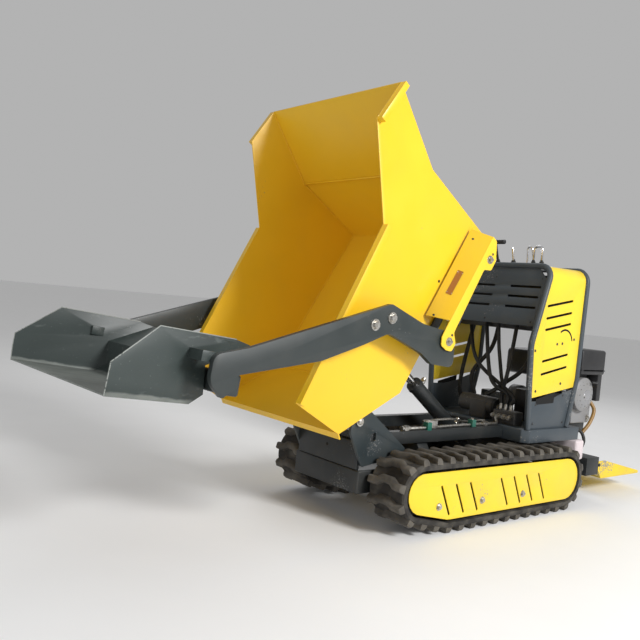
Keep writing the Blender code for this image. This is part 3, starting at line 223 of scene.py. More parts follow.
def wrapped(shape, rings, around_too=False):
    """Faces between each ring of points and the next, and from the last to the first if asked."""
    following = rings[1:] + rings[:1] if around_too else rings[1:]
    for lower, upper in zip(rings, following):
        for index in range(len(lower)):
            after = (index + 1) % len(lower)
            shape.faces.new((lower[index], lower[after], upper[after], upper[index]))


def smooth_up_to(mesh, degrees):
    mesh.shade_smooth()
    mesh.set_sharp_from_angle(angle=math.radians(degrees))


def plain_mesh(piece):
    """What the piece's modifiers make of it, as a mesh of its own."""
    bpy.context.view_layer.update()
    graph = bpy.context.evaluated_depsgraph_get()
    return bpy.data.meshes.new_from_object(piece.evaluated_get(graph))


def grown(holder, tree, values, name, material):
    """Runs a node tree on a holder object and keeps only the plain piece that comes out of it."""
    modifier = holder.modifiers.new("grow", "NODES")
    modifier.node_group = tree
    for item in tree.interface.items_tree:
        if item.in_out == "INPUT" and item.name in values:
            modifier[item.identifier] = values[item.name]
    mesh = plain_mesh(holder)
    bpy.data.objects.remove(holder)
    return new_piece(name, mesh, material)


def dusty_rubber(name, dark, dust, low):
    material, tree, shader = plain(name, dark, 0.85)
    share = between(tree, clouds(tree, 16.0, 6.0), low, 0.72)
    tree.links.new(two_colours(tree, share, dark, dust), shader.inputs["Base Color"])
    relief(tree, shader, clouds(tree, 260.0, 4.0), 0.0006)
    return material


tread_rubber = dusty_rubber("tread_rubber", (0.038, 0.034, 0.029), (0.135, 0.122, 0.102), 0.28)
belt_rubber = dusty_rubber("belt_rubber", (0.020, 0.018, 0.016), (0.085, 0.078, 0.066), 0.42)


def wheel_of(node, clearance):
    low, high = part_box(node)
    return Vector(((low.y + high.y) / 2, (low.z + high.z) / 2)), (high.z - low.z) / 2 + clearance


def leaving(first, second):
    """The straight run from one wheel to the next, anticlockwise, and the direction it faces."""
    line = second[0] - first[0]
    angle = math.atan2(line.y, line.x) - math.acos((first[1] - second[1]) / line.length)
    facing = Vector((math.cos(angle), math.sin(angle)))
    return first[0] + facing * first[1], second[0] + facing * second[1], angle


def around(wheels, count):
    """Evenly spaced points on a belt's inner face, each with the direction it faces."""
    runs = [leaving(wheel, wheels[(index + 1) % 3]) for index, wheel in enumerate(wheels)]
    dense = []
    for index, (start, end, angle) in enumerate(runs):
        dense.extend((start.lerp(end, step / 60), angle) for step in range(60))
        centre, radius = wheels[(index + 1) % 3]
        swing = (runs[(index + 1) % 3][2] - angle) % (2 * math.pi)
        for step in range(60):
            facing = angle + swing * step / 60
            dense.append((centre + Vector((math.cos(facing), math.sin(facing))) * radius, facing))
    dense.append(dense[0])
    lengths = [0.0]
    for before, after in zip(dense, dense[1:]):
        lengths.append(lengths[-1] + (after[0] - before[0]).length)
    stations = []
    place = 0
    for step in range(count):
        target = lengths[-1] * step / count
        while lengths[place + 1] < target:
            place += 1
        share = (target - lengths[place]) / max(lengths[place + 1] - lengths[place], 1e-9)
        stations.append((dense[place][0].lerp(dense[place + 1][0], share), dense[place][1]))
    return stations


def belt_mesh(wheels, low_x, high_x):
    """The belt's body, its section swept round the wheels, with a bead along each edge."""
    edge = 0.006
    section = [
        (low_x, 0.0),
        (low_x, belt_thickness - edge),
        (low_x + edge, belt_thickness),
        (low_x + 3 * edge, belt_thickness - 0.002),
        (high_x - 3 * edge, belt_thickness - 0.002),
        (high_x - edge, belt_thickness),
        (high_x, belt_thickness - edge),
        (high_x, 0.0),
    ]
    shape = bmesh.new()
    rings = []
    for point, facing in around(wheels, 150):
        away = Vector((math.cos(facing), math.sin(facing)))
        ring = []
        for x, height in section:
            place = point + away * height
            ring.append(shape.verts.new((x, place.x, place.y)))
        rings.append(ring)
    wrapped(shape, rings, around_too=True)
    bmesh.ops.recalc_face_normals(shape, faces=shape.faces)
    return as_mesh(shape, "belt")


def lug_shape(width):
    """One zigzag lug, its foot in the XY plane and narrower at its tread."""
    half = width / 2
    front = [(-half, -0.020), (-0.52 * half, -0.020), (-0.24 * half, -0.004), (0.24 * half, -0.004)]
    front += [(0.52 * half, -0.020), (half, -0.020)]
    rear = [(half, 0.012), (0.58 * half, 0.012), (0.28 * half, 0.028), (-0.28 * half, 0.028)]
    rear += [(-0.58 * half, 0.012), (-half, 0.012)]
    shape = bmesh.new()
    rings = []
    steps = ((-0.004, 0.0), (lug_height * 0.45, 0.0015), (lug_height * 0.86, 0.005), (lug_height, 0.008))
    for height, inset in steps:
        ring = [shape.verts.new((x * (1 - inset / half), y + inset, height)) for x, y in front]
        ring += [shape.verts.new((x * (1 - inset / half), y - inset, height)) for x, y in rear]
        rings.append(ring)
    wrapped(shape, rings)
    shape.faces.new(rings[-1])
    shape.faces.new(rings[0][::-1])
    return as_mesh(shape, "lug")


def new_tree(name, inputs):
    """A geometry node tree with named inputs and one output, and its nodes at each end."""
    tree = bpy.data.node_groups.new(name, "GeometryNodeTree")
    for label, kind in inputs:
        tree.interface.new_socket(label, in_out="INPUT", socket_type=f"NodeSocket{kind}")
    tree.interface.new_socket("Pieces", in_out="OUTPUT", socket_type="NodeSocketGeometry")
    return tree, tree.nodes.new("NodeGroupInput"), tree.nodes.new("NodeGroupOutput")


def copied(tree, entry, leave, points, turn):
    """Ends a tree with copies of its shape on the points, made real and given their material."""
    info = tree.nodes.new("GeometryNodeObjectInfo")
    placed = tree.nodes.new("GeometryNodeInstanceOnPoints")
    real = tree.nodes.new("GeometryNodeRealizeInstances")
    finish = tree.nodes.new("GeometryNodeSetMaterial")
    link = tree.links.new
    link(entry.outputs["Shape"], info.inputs["Object"])
    link(points, placed.inputs["Points"])
    link(info.outputs["Geometry"], placed.inputs["Instance"])
    link(turn, placed.inputs["Rotation"])
    link(placed.outputs["Instances"], real.inputs["Geometry"])
    link(real.outputs["Geometry"], finish.inputs["Geometry"])
    link(entry.outputs["Finish"], finish.inputs["Material"])
    link(finish.outputs["Geometry"], leave.inputs["Pieces"])
    return tree


def along_belt_tree():
    """Copies a shape along a closed belt that lies in the YZ plane, turned to face outwards."""
    inputs = (("Belt", "Geometry"), ("Shape", "Object"), ("Count", "Int"), ("Finish", "Material"))
    tree, entry, leave = new_tree("along_belt", inputs)
    resample = tree.nodes.new("GeometryNodeResampleCurve")
    tangent = tree.nodes.new("GeometryNodeInputTangent")
    parts = tree.nodes.new("ShaderNodeSeparateXYZ")
    angle = tree.nodes.new("ShaderNodeMath")
    angle.operation = "ARCTAN2"
    turn = tree.nodes.new("ShaderNodeCombineXYZ")
    link = tree.links.new
    link(entry.outputs["Belt"], resample.inputs["Curve"])
    link(entry.outputs["Count"], resample.inputs["Count"])
    link(tangent.outputs["Tangent"], parts.inputs["Vector"])
    link(parts.outputs["Z"], angle.inputs[0])
    link(parts.outputs["Y"], angle.inputs[1])
    link(angle.outputs["Value"], turn.inputs["X"])
    return copied(tree, entry, leave, resample.outputs["Curve"], turn.outputs["Vector"])


along_belt = along_belt_tree()
for side in ("left", "right"):
    track_low, track_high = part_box(f"track_{side}")
    sprocket = wheel_of(f"drive_sprocket_{side}", 0.001)
    idler = wheel_of(f"front_idler_{side}", 0.001)
    roller_height = track_low.z + belt_thickness + lug_height + first_roller_radius
    roller = (Vector((idler[0].x + first_roller_behind_idler, roller_height)), first_roller_radius)
    wheels = (sprocket, idler, roller)
    belt = new_piece(f"belt_{side}", belt_mesh(wheels, track_low.x, track_high.x), belt_rubber)
    smooth_up_to(belt.data, 30)
    width = track_high.x - track_low.x
    lug = bpy.data.objects.new("lug", lug_shape(width))
    middle = (track_low.x + track_high.x) / 2
    path = bpy.data.curves.new("path", "CURVE")
    path.dimensions = "3D"
    spline = path.splines.new("POLY")
    belt_line = around(wheels, 400)
    stations = [point + Vector((math.cos(a), math.sin(a))) * belt_thickness for point, a in belt_line]
    spline.points.add(len(stations) - 1)
    for point, station in zip(spline.points, reversed(stations)):
        point.co = (middle, station.x, station.y, 1.0)
    spline.use_cyclic_u = True
    holder = bpy.data.objects.new("holder", path)
    bpy.context.scene.collection.objects.link(holder)
    values = {"Shape": lug, "Count": lug_count, "Finish": tread_rubber}
    lugs = grown(holder, along_belt, values, f"lugs_{side}", tread_rubber)
    smooth_up_to(lugs.data, 50)
    bpy.data.objects.remove(lug)
    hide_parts(f"track_{side}")
    for piece in (belt, lugs):
        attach(piece, "chassis")


# Inside each belt: a welded box beam with a fork at each end, a cast idler, a toothed sprocket
# and rollers. All of it is painted black or bare iron, and greasy dust lies on it.


def painted(name, colour, under, roughness, chips=0.72, dust=(0.20, 0.18, 0.15), dusty=0.10, peel=0.00012):
    """Sprayed paint: slightly uneven, with a fine orange peel, dust and a few chips to the metal."""
    material, tree, shader = plain(name, colour, roughness)
    shade = two_colours(tree, clouds(tree, 3.5, 5.0), tuple(0.86 * part for part in colour), colour)
    film = between(tree, clouds(tree, 9.0, 8.0), 0.45, 0.80, 0.0, dusty)
    shade = two_colours(tree, film, shade, dust)
    marks = product(tree, clouds(tree, 150.0, 9.0), clouds(tree, 6.0, 3.0))
    bare = between(tree, marks, chips * 0.52, chips * 0.52 + 0.02)
    tree.links.new(two_colours(tree, bare, shade, under), shader.inputs["Base Color"])
    shine = between(tree, clouds(tree, 7.0, 6.0), 0.3, 0.8, roughness - 0.06, roughness + 0.14)
    tree.links.new(shine, shader.inputs["Roughness"])
    relief(tree, shader, clouds(tree, 420.0, 2.0), peel, 0.35)
    return material


def softened(node, material, width=0.002, name=None):
    """A CAD node with its edges broken and its finish on, which stands for the node."""
    mesh = nodes[node].data.copy()
    shape = bmesh.new()
    shape.from_mesh(mesh)
    bmesh.ops.remove_doubles(shape, verts=shape.verts, dist=0.00002)
    bmesh.ops.dissolve_limit(shape, angle_limit=math.radians(0.5), verts=shape.verts, edges=shape.edges)
    shape.to_mesh(mesh)
    shape.free()
    piece = new_piece(name or f"{node}_finished", mesh, material)
    bevel = piece.modifiers.new("edges", "BEVEL")
    bevel.width = width
    bevel.segments = 2
    bevel.limit_method = "ANGLE"
    bevel.angle_limit = math.radians(35)
    piece.data = plain_mesh(piece)
    piece.modifiers.clear()
    smooth_up_to(piece.data, 38)
    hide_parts(node)
    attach(piece, nodes[node]["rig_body"])
    return piece


chassis_black = painted("chassis_black", (0.014, 0.017, 0.018), (0.10, 0.10, 0.10), 0.42)
cast_iron = painted("cast_iron", (0.05, 0.05, 0.05), (0.20, 0.19, 0.18), 0.5, 0.8, dusty=0.3, peel=0.0005)
for side in ("left", "right"):
    softened(f"track_frame_{side}", chassis_black, 0.002)
    softened(f"front_idler_{side}", cast_iron, 0.003)
    softened(f"drive_sprocket_{side}", cast_iron, 0.0015)


# The slotted yellow plate over each track's outer side, laser cut from 4 mm steel and held by
# three zinc-plated hexagon bolts on spacers.

cover_bolt_from_front = (0.199, 0.457, 0.728)


def stacked(steps, name):
    """Round or six-sided slices along +Z: radius at each end, height of each end, and sides."""
    shape = bmesh.new()
    for lower, upper, start, end, sides in steps:
        bmesh.ops.create_cone(
            shape,
            cap_ends=True,
            segments=sides,
            radius1=lower,
            radius2=upper,
            depth=end - start,
            matrix=Matrix.Translation((0, 0, (start + end) / 2)),
        )
    return as_mesh(shape, name)


def hex_bolt(radius, height, washer=1.55):
    """A hexagon head with a chamfered top on a washer, its seat in the XY plane, facing +Z."""
    thin = radius * 0.28
    chamfer = thin + height * 0.78
    slices = (
        (radius * washer, radius * washer * 0.97, 0.0, thin, 24),
        (radius, radius, thin, chamfer, 6),
        (radius, radius * 0.82, chamfer, thin + height, 6),
    )
    return stacked(slices, "hex_bolt")


def on_points_tree():
    """Copies one shape to every point of a mesh, with one turn for all."""
    inputs = (("Points", "Geometry"), ("Shape", "Object"), ("Turn", "Vector"), ("Finish", "Material"))
    tree, entry, leave = new_tree("on_points", inputs)
    return copied(tree, entry, leave, entry.outputs["Points"], entry.outputs["Turn"])


on_points = on_points_tree()


def copies(name, places, shape_mesh, facing, material, body="chassis"):
    """Copies of a shape with their seats at the places, all facing one way, on one body."""
    points = bpy.data.meshes.new("points")
    points.from_pydata([tuple(place) for place in places], [], [])
    holder = bpy.data.objects.new("holder", points)
    bpy.context.scene.collection.objects.link(holder)
    shape_holder = bpy.data.objects.new("shape", shape_mesh)
    turn = Vector(facing).to_track_quat("Z", "Y").to_euler()
    values = {"Shape": shape_holder, "Turn": tuple(turn), "Finish": material}
    piece = grown(holder, on_points, values, name, material)
    bpy.data.objects.remove(shape_holder)
    smooth_up_to(piece.data, 35)
    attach(piece, body)
    return piece


def zinc_plate():
    material, tree, shader = plain("zinc_plate", (0.55, 0.55, 0.52), 0.35, 1.0)
    share = between(tree, clouds(tree, 90.0, 6.0), 0.35, 0.7)
    shade = two_colours(tree, share, (0.62, 0.61, 0.58), (0.36, 0.33, 0.28))
    tree.links.new(shade, shader.inputs["Base Color"])
    relief(tree, shader, clouds(tree, 500.0, 3.0), 0.0001, 0.3)
    return material


bolt_zinc = zinc_plate()


def zinc(name, places, shape_mesh, facing, body="chassis"):
    return copies(name, places, shape_mesh, facing, bolt_zinc, body)


def outer_face(node, out):
    low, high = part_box(node)
    return high.x if out > 0 else low.x


cover_yellow = painted("cover_yellow", (0.905, 0.640, 0.030), (0.35, 0.30, 0.20), 0.34, 0.80, dusty=0.12)
for side, out in (("left", 1), ("right", -1)):
    softened(f"track_cover_{side}", cover_yellow, 0.0007)
    face = outer_face(f"track_cover_{side}", out)
    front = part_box(f"track_cover_{side}")[0].y
    places = [(face, front + along - 0.030, 0.110) for along in cover_bolt_from_front]
    zinc(f"cover_bolts_{side}", places, hex_bolt(0.0095, 0.008), (out, 0, 0))


# The welded chassis: a ladder frame on two cross beams, the front plate and box that close its
# nose, and the two laser-cut plates that carry the skip's hinge pins.

for node in ("deck_frame", "front_cross_plate", "front_box", "axle_beam_front", "axle_beam_rear"):
    softened(node, chassis_black, 0.003)
bracket_black = painted("bracket_black", (0.028, 0.038, 0.042), (0.16, 0.16, 0.16), 0.40, dusty=0.16)
for side, out in (("left", 1), ("right", -1)):
    softened(f"hinge_bracket_{side}", bracket_black, 0.001)
    end = outer_face(f"hinge_bracket_{side}", out)
    hinge = joints["skip_tip"]["pos_m"]
    zinc(f"hinge_pin_end_{side}", [(end, hinge[1], hinge[2])], hex_bolt(0.011, 0.006), (out, 0, 0))


def disc(radius, depth, segments=24):
    """A flat round plug, its seat in the XY plane."""
    return stacked([(radius, radius * 0.94, 0.0, depth, segments)], "disc")


# Flat black for the holes, slots, openings and vents below: painted shade standing for the dark inside of
# each.
hole_shade_black = plain("hole_shade_black", (0.004, 0.004, 0.004), 0.9)[0]
# A black disc for the hole in the front plate: painted shade inside the hole.
plate_low, plate_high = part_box("front_cross_plate")
places = [(0.0, plate_low.y, (plate_low.z + plate_high.z) / 2 + 0.01)]
copies("front_plate_hole", places, disc(0.006, 0.0008), (0, -1, 0), hole_shade_black)


# Along the deck's left rail runs a zinc-plated hydraulic pipe with steel unions at its ends and
# two green plastic clamps. A thinner pipe and a rubber hose by the skip's hinge lie beside it.


def through(points, steps=8):
    """A smooth path through the points given."""
    path = [Vector(point) for point in points]
    ends = [path[0] * 2 - path[1], *path, path[-1] * 2 - path[-2]]
    smooth = []
    for a, b, c, d in zip(ends, ends[1:], ends[2:], ends[3:]):
        for step in range(steps):
            t = step / steps
            line = 2 * b + (c - a) * t
            smooth.append(0.5 * (line + (2 * a - 5 * b + 4 * c - d) * t**2 + (3 * b - a - 3 * c + d) * t**3))
    smooth.append(path[-1])
    return smooth


def tube(name, path, radius, material, resolution=3):
    """A round tube along a path, as a plain mesh with filled ends."""
    curve = bpy.data.curves.new("tube", "CURVE")
    curve.dimensions = "3D"
    curve.bevel_depth = radius
    curve.bevel_resolution = resolution
    curve.use_fill_caps = True
    spline = curve.splines.new("POLY")
    spline.points.add(len(path) - 1)
    for point, place in zip(spline.points, path):
        point.co = (*place, 1.0)
    holder = bpy.data.objects.new("holder", curve)
    bpy.context.scene.collection.objects.link(holder)
    mesh = plain_mesh(holder)
    bpy.data.objects.remove(holder)
    piece = new_piece(name, mesh, material)
    smooth_up_to(mesh, 40)
    return piece


def hose_rubber_finish():
    """Matt black rubber with a fine grain and a little dust."""
    material, tree, shader = plain("hose_rubber", (0.012, 0.012, 0.012), 0.55)
    share = between(tree, clouds(tree, 30.0, 5.0), 0.45, 0.75, 0.0, 0.4)
    shade = two_colours(tree, share, (0.012, 0.012, 0.012), (0.07, 0.068, 0.062))
    tree.links.new(shade, shader.inputs["Base Color"])
    relief(tree, shader, clouds(tree, 700.0, 2.0), 0.0004)
    return material


def union_mesh(radius, length):
    """A pipe union: a long hexagon nut between two collars, from the XY plane along +Z."""
    shares = ((0.78, 0.0, 0.22, 20), (1.0, 0.22, 0.62, 6), (0.80, 0.62, 0.82, 20), (0.62, 0.82, 1.0, 20))
    slices = [
        (radius * share, radius * share, length * start, length * end, sides)
        for share, start, end, sides in shares
    ]
    return stacked(slices, "union")


hose_rubber = hose_rubber_finish()
pipe_low, pipe_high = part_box("side_pipe")
softened("side_pipe", bolt_zinc, 0.0003)
pipe_x = pipe_high.x - 0.007
pipe_z = pipe_low.z + 0.007
zinc("pipe_unions", [(pipe_x, pipe_low.y - 0.002, pipe_z + 0.001)], union_mesh(0.0135, 0.050), (0, 1, 0))
zinc("pipe_union_rear", [(pipe_x - 0.012, pipe_high.y - 0.150, pipe_z + 0.001)], union_mesh(0.0125, 0.045),
       (0, 1, 0))


def box_shape(size, bevel=0.0015):
    """A block with rounded edges, its seat in the XY plane."""
    shape = bmesh.new()
    bmesh.ops.create_cube(shape, size=1.0)
    bmesh.ops.scale(shape, vec=Vector(size), verts=shape.verts)
    bmesh.ops.translate(shape, vec=Vector((0, 0, size[2] / 2)), verts=shape.verts)
    bmesh.ops.bevel(shape, geom=shape.edges[:], offset=bevel, segments=2, affect="EDGES", profile=0.5)
    return as_mesh(shape, "block")


clamp_green = painted("clamp_green", (0.004, 0.120, 0.085), (0.03, 0.14, 0.11), 0.5, 0.9, dusty=0.2)
clamp_places = [
    (pipe_x, pipe_low.y + 0.150, pipe_low.z - 0.004),
    (pipe_x - 0.012, pipe_high.y - 0.220, pipe_low.z - 0.004),
]
clamp = box_shape((0.030, 0.026, 0.034), 0.004)
copies("pipe_clamps", clamp_places, clamp, (0, 0, 1), clamp_green)
clamp_tops = [(x, y, z + 0.034) for x, y, z in clamp_places]
zinc("clamp_bolts", clamp_tops, hex_bolt(0.0055, 0.005), (0, 0, 1))
deck_top = pipe_low.z
inner_pipe = through([
    (0.145, -0.060, deck_top + 0.030),
    (0.140, 0.050, deck_top + 0.034),
    (0.130, 0.150, deck_top + 0.030),
    (0.105, 0.260, deck_top + 0.012),
    (0.100, 0.400, deck_top + 0.012),
])
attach(tube("inner_pipe", inner_pipe, 0.005, bolt_zinc), "chassis")
zinc("inner_pipe_block", [(0.150, -0.020, deck_top)], box_shape((0.030, 0.060, 0.036), 0.003), (0, 0, 1))
hinge_y, hinge_z = joints["skip_tip"]["pos_m"][1:]
crossing = through([
    (0.090, hinge_y + 0.120, hinge_z + 0.155),
    (0.118, hinge_y + 0.085, hinge_z + 0.075),
    (0.128, hinge_y + 0.090, hinge_z + 0.010),
    (0.128, hinge_y + 0.130, hinge_z - 0.030),
    (0.120, hinge_y + 0.200, hinge_z - 0.038),
], 10)
crossing_hose = tube("hinge_hose", crossing, 0.008, hose_rubber)
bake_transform(crossing_hose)


# The control tower: a folded tray with cut corners, two bent tube hoops, slotted sheets between
# them and a folded console on top. The tubes and plain sheets are slate grey, the side panels
# yellow, and black button-head screws hold them.

slate = painted("slate_paint", (0.052, 0.066, 0.078), (0.18, 0.18, 0.18), 0.38, dusty=0.12)
panel_yellow = painted("panel_yellow", (0.900, 0.650, 0.040), (0.35, 0.30, 0.20), 0.32, 0.86, dusty=0.05)
softened("base_tray", slate, 0.004)
for node in ("tower_hoop_front", "tower_hoop_rear", "tower_side_plate_left", "tower_side_plate_right",
             "front_panel", "console_top"):
    softened(node, slate, 0.0006)
for side in ("left", "right"):
    softened(f"side_panel_{side}", panel_yellow, 0.0006)


def button_head(radius):
    """A domed screw head, its seat in the XY plane."""
    shape = bmesh.new()
    bmesh.ops.create_uvsphere(shape, u_segments=16, v_segments=8, radius=radius)
    lower = [vert for vert in shape.verts if vert.co.z < -0.0001]
    bmesh.ops.delete(shape, geom=lower, context="VERTS")
    bmesh.ops.scale(shape, vec=(1.0, 1.0, 0.5), verts=shape.verts)
    rim = [edge for edge in shape.edges if edge.is_boundary]
    bmesh.ops.contextual_create(shape, geom=rim)
    return as_mesh(shape, "button")


def slab(name, inner, outer, material):
    """A closed plate between two loops of as many points each."""
    shape = bmesh.new()
    rings = [[shape.verts.new(place) for place in loop] for loop in (inner, outer)]
    for ring in rings:
        shape.faces.new(ring)
    wrapped(shape, rings)
    bmesh.ops.recalc_face_normals(shape, faces=shape.faces)
    return new_piece(name, as_mesh(shape, name), material)


def sheet_on(name, corners, face, thickness, material):
    """A flat sheet on a face square to X, its corners given in YZ."""
    lift = math.copysign(0.0002, thickness)
    inner = [(face + lift, y, z) for y, z in corners]
    return slab(name, inner, [(face + thickness, y, z) for y, z in corners], material)


screw_black = painted("screw_black", (0.020, 0.020, 0.021), (0.25, 0.25, 0.25), 0.35, 0.8)
for side, out in (("left", 1), ("right", -1)):
    face = outer_face(f"side_panel_{side}", out)
    rows = ((0.463, 0.707), (0.668, 0.746), (0.627, 0.742), (0.761, 0.768), (0.685, 0.563), (0.495, 0.528))
    places = [(face, y, z) for y, z in rows]
    copies(f"panel_screws_{side}", places, button_head(0.0065), (out, 0, 0), screw_black)
    slot_path = []
    centre = Vector((0.684, 0.747))
    for step in range(14):
        angle = math.radians(128 - 115 * step / 13)
        slot_y = centre.x + 0.062 * math.cos(angle)
        slot_path.append((face + 0.0004 * out, slot_y, centre.y + 0.062 * math.sin(angle)))
    # The arc slot is a flattened black tube: painted shade in the slot.
    arc_slot = tube(f"panel_arc_slot_{side}", slot_path, 0.0045, hole_shade_black, 2)
    for vert in arc_slot.data.vertices:
        vert.co.x = face + (vert.co.x - face) * 0.15
    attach(arc_slot, "chassis")
    low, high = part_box(f"tower_side_plate_{side}")
    face = high.x if out > 0 else low.x
    edge_places = [(face, low.y + 0.030, low.z + 0.025), (face, high.y - 0.060, low.z + 0.025)]
    edge_places += [(face, low.y + 0.040, low.z + 0.110), (face, high.y - 0.075, low.z + 0.150)]
    copies(f"plate_screws_{side}", edge_places, button_head(0.006), (out, 0, 0), screw_black)
    # The opening in the side plate is a black sheet: painted shade seen through it.
    corners = ((0.506, 0.468), (0.506, 0.492), (0.648, 0.524), (0.644, 0.474))
    opening = sheet_on(f"plate_opening_{side}", corners, face, 0.0008 * out, hole_shade_black)
    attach(opening, "chassis")
panel_low, panel_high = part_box("front_panel")
lean = math.atan2(panel_high.y - panel_low.y, panel_high.z - panel_low.z)
panel_places = []
for x in (-0.250, 0.0, 0.250):
    for up in (0.020, 0.215):
        y = panel_low.y + up * math.tan(lean) + 0.0001
        panel_places.append((x, y, panel_low.z + up))
panel_facing = (0, -math.cos(lean), math.sin(lean))
copies("front_panel_screws", panel_places, button_head(0.006), panel_facing, screw_black)


# The levers on the console: a black cross-headed one for tipping, a chrome stem, a bent chrome
# handle and a bent chrome loop. Rubber gaiters seal the slots of all but the loop.


def moulded(name, colour, roughness, grain=0.0004):
    material, tree, shader = plain(name, colour, roughness)
    light = tuple(min(1.0, 1.5 * part + 0.01) for part in colour)
    tree.links.new(two_colours(tree, clouds(tree, 22.0, 5.0), colour, light), shader.inputs["Base Color"])
    relief(tree, shader, clouds(tree, 900.0, 2.0), grain, 0.4)
    return material


def chrome_finish():
    material, tree, shader = plain("chrome", (0.80, 0.80, 0.82), 0.10, 1.0)
    shine = between(tree, clouds(tree, 40.0, 6.0, (1.0, 1.0, 0.1)), 0.3, 0.8, 0.07, 0.22)
    tree.links.new(shine, shader.inputs["Roughness"])
    relief(tree, shader, clouds(tree, 300.0, 3.0, (1.0, 1.0, 0.1)), 0.00005, 0.2)
    return material


black_plastic = moulded("black_plastic", (0.010, 0.010, 0.011), 0.42)
chrome = chrome_finish()
softened("tip_lever", black_plastic, 0.001)
softened("lift_lever", chrome, 0.0005)
softened("drive_handle", chrome, 0.0005)


def gaiter(radius, height):
    """A rubber gaiter: three folds that narrow upwards, seated in the XY plane."""
    shape = bmesh.new()
    profile = [(1.25, 0.0), (1.25, 0.08), (1.0, 0.12)]
    for fold in range(3):
        start = 0.12 + 0.26 * fold
        wide = 1.0 - 0.2 * fold
        profile += [(wide, start + 0.06), (wide, start + 0.14), (wide - 0.22, start + 0.22)]
    profile += [(0.40, 1.0)]
    rings = []
    for share, up in profile:
        ring = [
            shape.verts.new((radius * share * math.cos(a), radius * share * math.sin(a), height * up))
            for a in (2 * math.pi * step / 20 for step in range(20))
        ]
        rings.append(ring)
    wrapped(shape, rings)
    shape.faces.new(rings[-1])
    shape.faces.new(rings[0][::-1])
    return as_mesh(shape, "gaiter")


console_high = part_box("console_top")[1]
gaiter_places = []
for node in ("tip_lever", "lift_lever"):
    low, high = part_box(node)
    gaiter_places.append(((low.x + high.x) / 2, high.y - 0.008, console_high.z))
low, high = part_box("drive_handle")
gaiter_places += [(x, (low.y + high.y) / 2, console_high.z) for x in (low.x + 0.006, high.x - 0.006)]
copies("lever_gaiters", gaiter_places, gaiter(0.017, 0.030), (0, 0, 1), hose_rubber)
loop_y = (low.y + high.y) / 2
chrome_loop = through([
    (0.075, loop_y, console_high.z + 0.001),
    (0.076, loop_y, console_high.z + 0.040),
    (0.080, loop_y - 0.010, console_high.z + 0.082),
    (0.092, loop_y - 0.012, console_high.z + 0.092),
    (0.104, loop_y - 0.010, console_high.z + 0.082),
    (0.108, loop_y, console_high.z + 0.040),
    (0.109, loop_y, console_high.z + 0.001),
])
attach(tube("chrome_loop_handle", chrome_loop, 0.0045, chrome), "chassis")


# Inside the tower stand the hydraulic pump with its motor and the valve block, under a black
# box with the control valves. Black pressure hoses run between them, and steel unions end them.

softened("hydraulic_pump", cast_iron, 0.003)
softened("valve_block", cast_iron, 0.002)
softened("console_hose", hose_rubber, 0.0002)
bank = box_shape((0.520, 0.260, 0.255), 0.010)
copies("control_bank", [(0.0, 0.672, 0.790)], bank, (0, 0, 1), black_plastic)
bank_nose = box_shape((0.520, 0.060, 0.200), 0.010)
copies("control_bank_nose", [(0.0, 0.563, 0.835)], bank_nose, (0, 0, 1), black_plastic)
valve_low, valve_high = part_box("valve_block")
pump_low, pump_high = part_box("hydraulic_pump")
valve_spacing = 0.028
for index in range(4):
    x = valve_low.x + 0.018 + index * valve_spacing
    zinc(f"valve_cap_{index}", [(x, valve_low.y, valve_low.z + 0.035)], union_mesh(0.012, 0.034), (0, -1, 0))
valve_y = (valve_low.y + valve_high.y) / 2
valve_ports = [(valve_low.x + 0.018 + index * valve_spacing, valve_y, valve_high.z) for index in range(3)]
zinc("valve_ports", valve_ports, union_mesh(0.010, 0.030), (0, 0, 1))
hose_starts = [Vector(place) + Vector((0, 0, 0.028)) for place in valve_ports]
hose_ends = ((0.140, 0.515, 0.880), (-0.040, 0.530, 0.900), (-0.150, 0.560, 0.860))
hose_sags = ((0.150, 0.470, 0.600), (0.060, 0.468, 0.560), (-0.030, 0.480, 0.620))
for index, (start, sag, end) in enumerate(zip(hose_starts, hose_sags, hose_ends)):
    risen = start + Vector((0, -0.004, 0.045))
    points = [start, risen, Vector(sag), Vector(end) - Vector((0, 0, 0.09)), Vector(end)]
    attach(tube(f"tower_hose_{index}", through(points, 10), 0.009, hose_rubber), "chassis")
pump_top = pump_high.z - 0.006
pump_hoses = (
    ((-0.1, pump_high.y - 0.01, pump_top), (-0.12, 0.56, 0.56), (-0.06, 0.62, 0.7), (-0.04, 0.64, 0.9)),
    ((-0.03, pump_high.y - 0.03, pump_top), (0.02, 0.62, 0.52), (0.12, 0.66, 0.64), (0.16, 0.66, 0.9)),
    ((0.18, 0.6, 0.372), (0.205, 0.58, 0.48), (0.215, 0.6, 0.64), (0.18, 0.62, 0.9)),
    ((-0.19, 0.6, 0.372), (-0.205, 0.58, 0.5), (-0.19, 0.6, 0.7), (-0.16, 0.62, 0.9)),
)
for index, points in enumerate(pump_hoses):
    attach(tube(f"pump_hose_{index}", through(points, 10), 0.010, hose_rubber), "chassis")
motor_end = (pump_high.x, (pump_low.y + pump_high.y) / 2, pump_high.z - 0.042)
copies("pump_pulley", [motor_end], disc(0.040, 0.012, 32), (1, 0, 0), chassis_black)
pump_bolt_place = (motor_end[0] + 0.012, *motor_end[1:])
copies("pump_bolt", [pump_bolt_place], hex_bolt(0.009, 0.007), (1, 0, 0), bolt_zinc)
tray_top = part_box("base_tray")[1].z + 0.0005
battery = box_shape((0.170, 0.130, 0.150), 0.008)
copies("battery", [(0.140, 0.740, tray_top)], battery, (0, 0, 1), black_plastic)
control_box = box_shape((0.150, 0.070, 0.110), 0.006)
copies("control_box", [(-0.110, 0.760, tray_top)], control_box, (0, 0, 1), slate)


# The petrol engine: a die-cast crankcase, a finned cylinder, a pressed blower housing with the
# pull starter's silver cup on the left, a black air cleaner and fuel tank above and a silencer
# on the right.

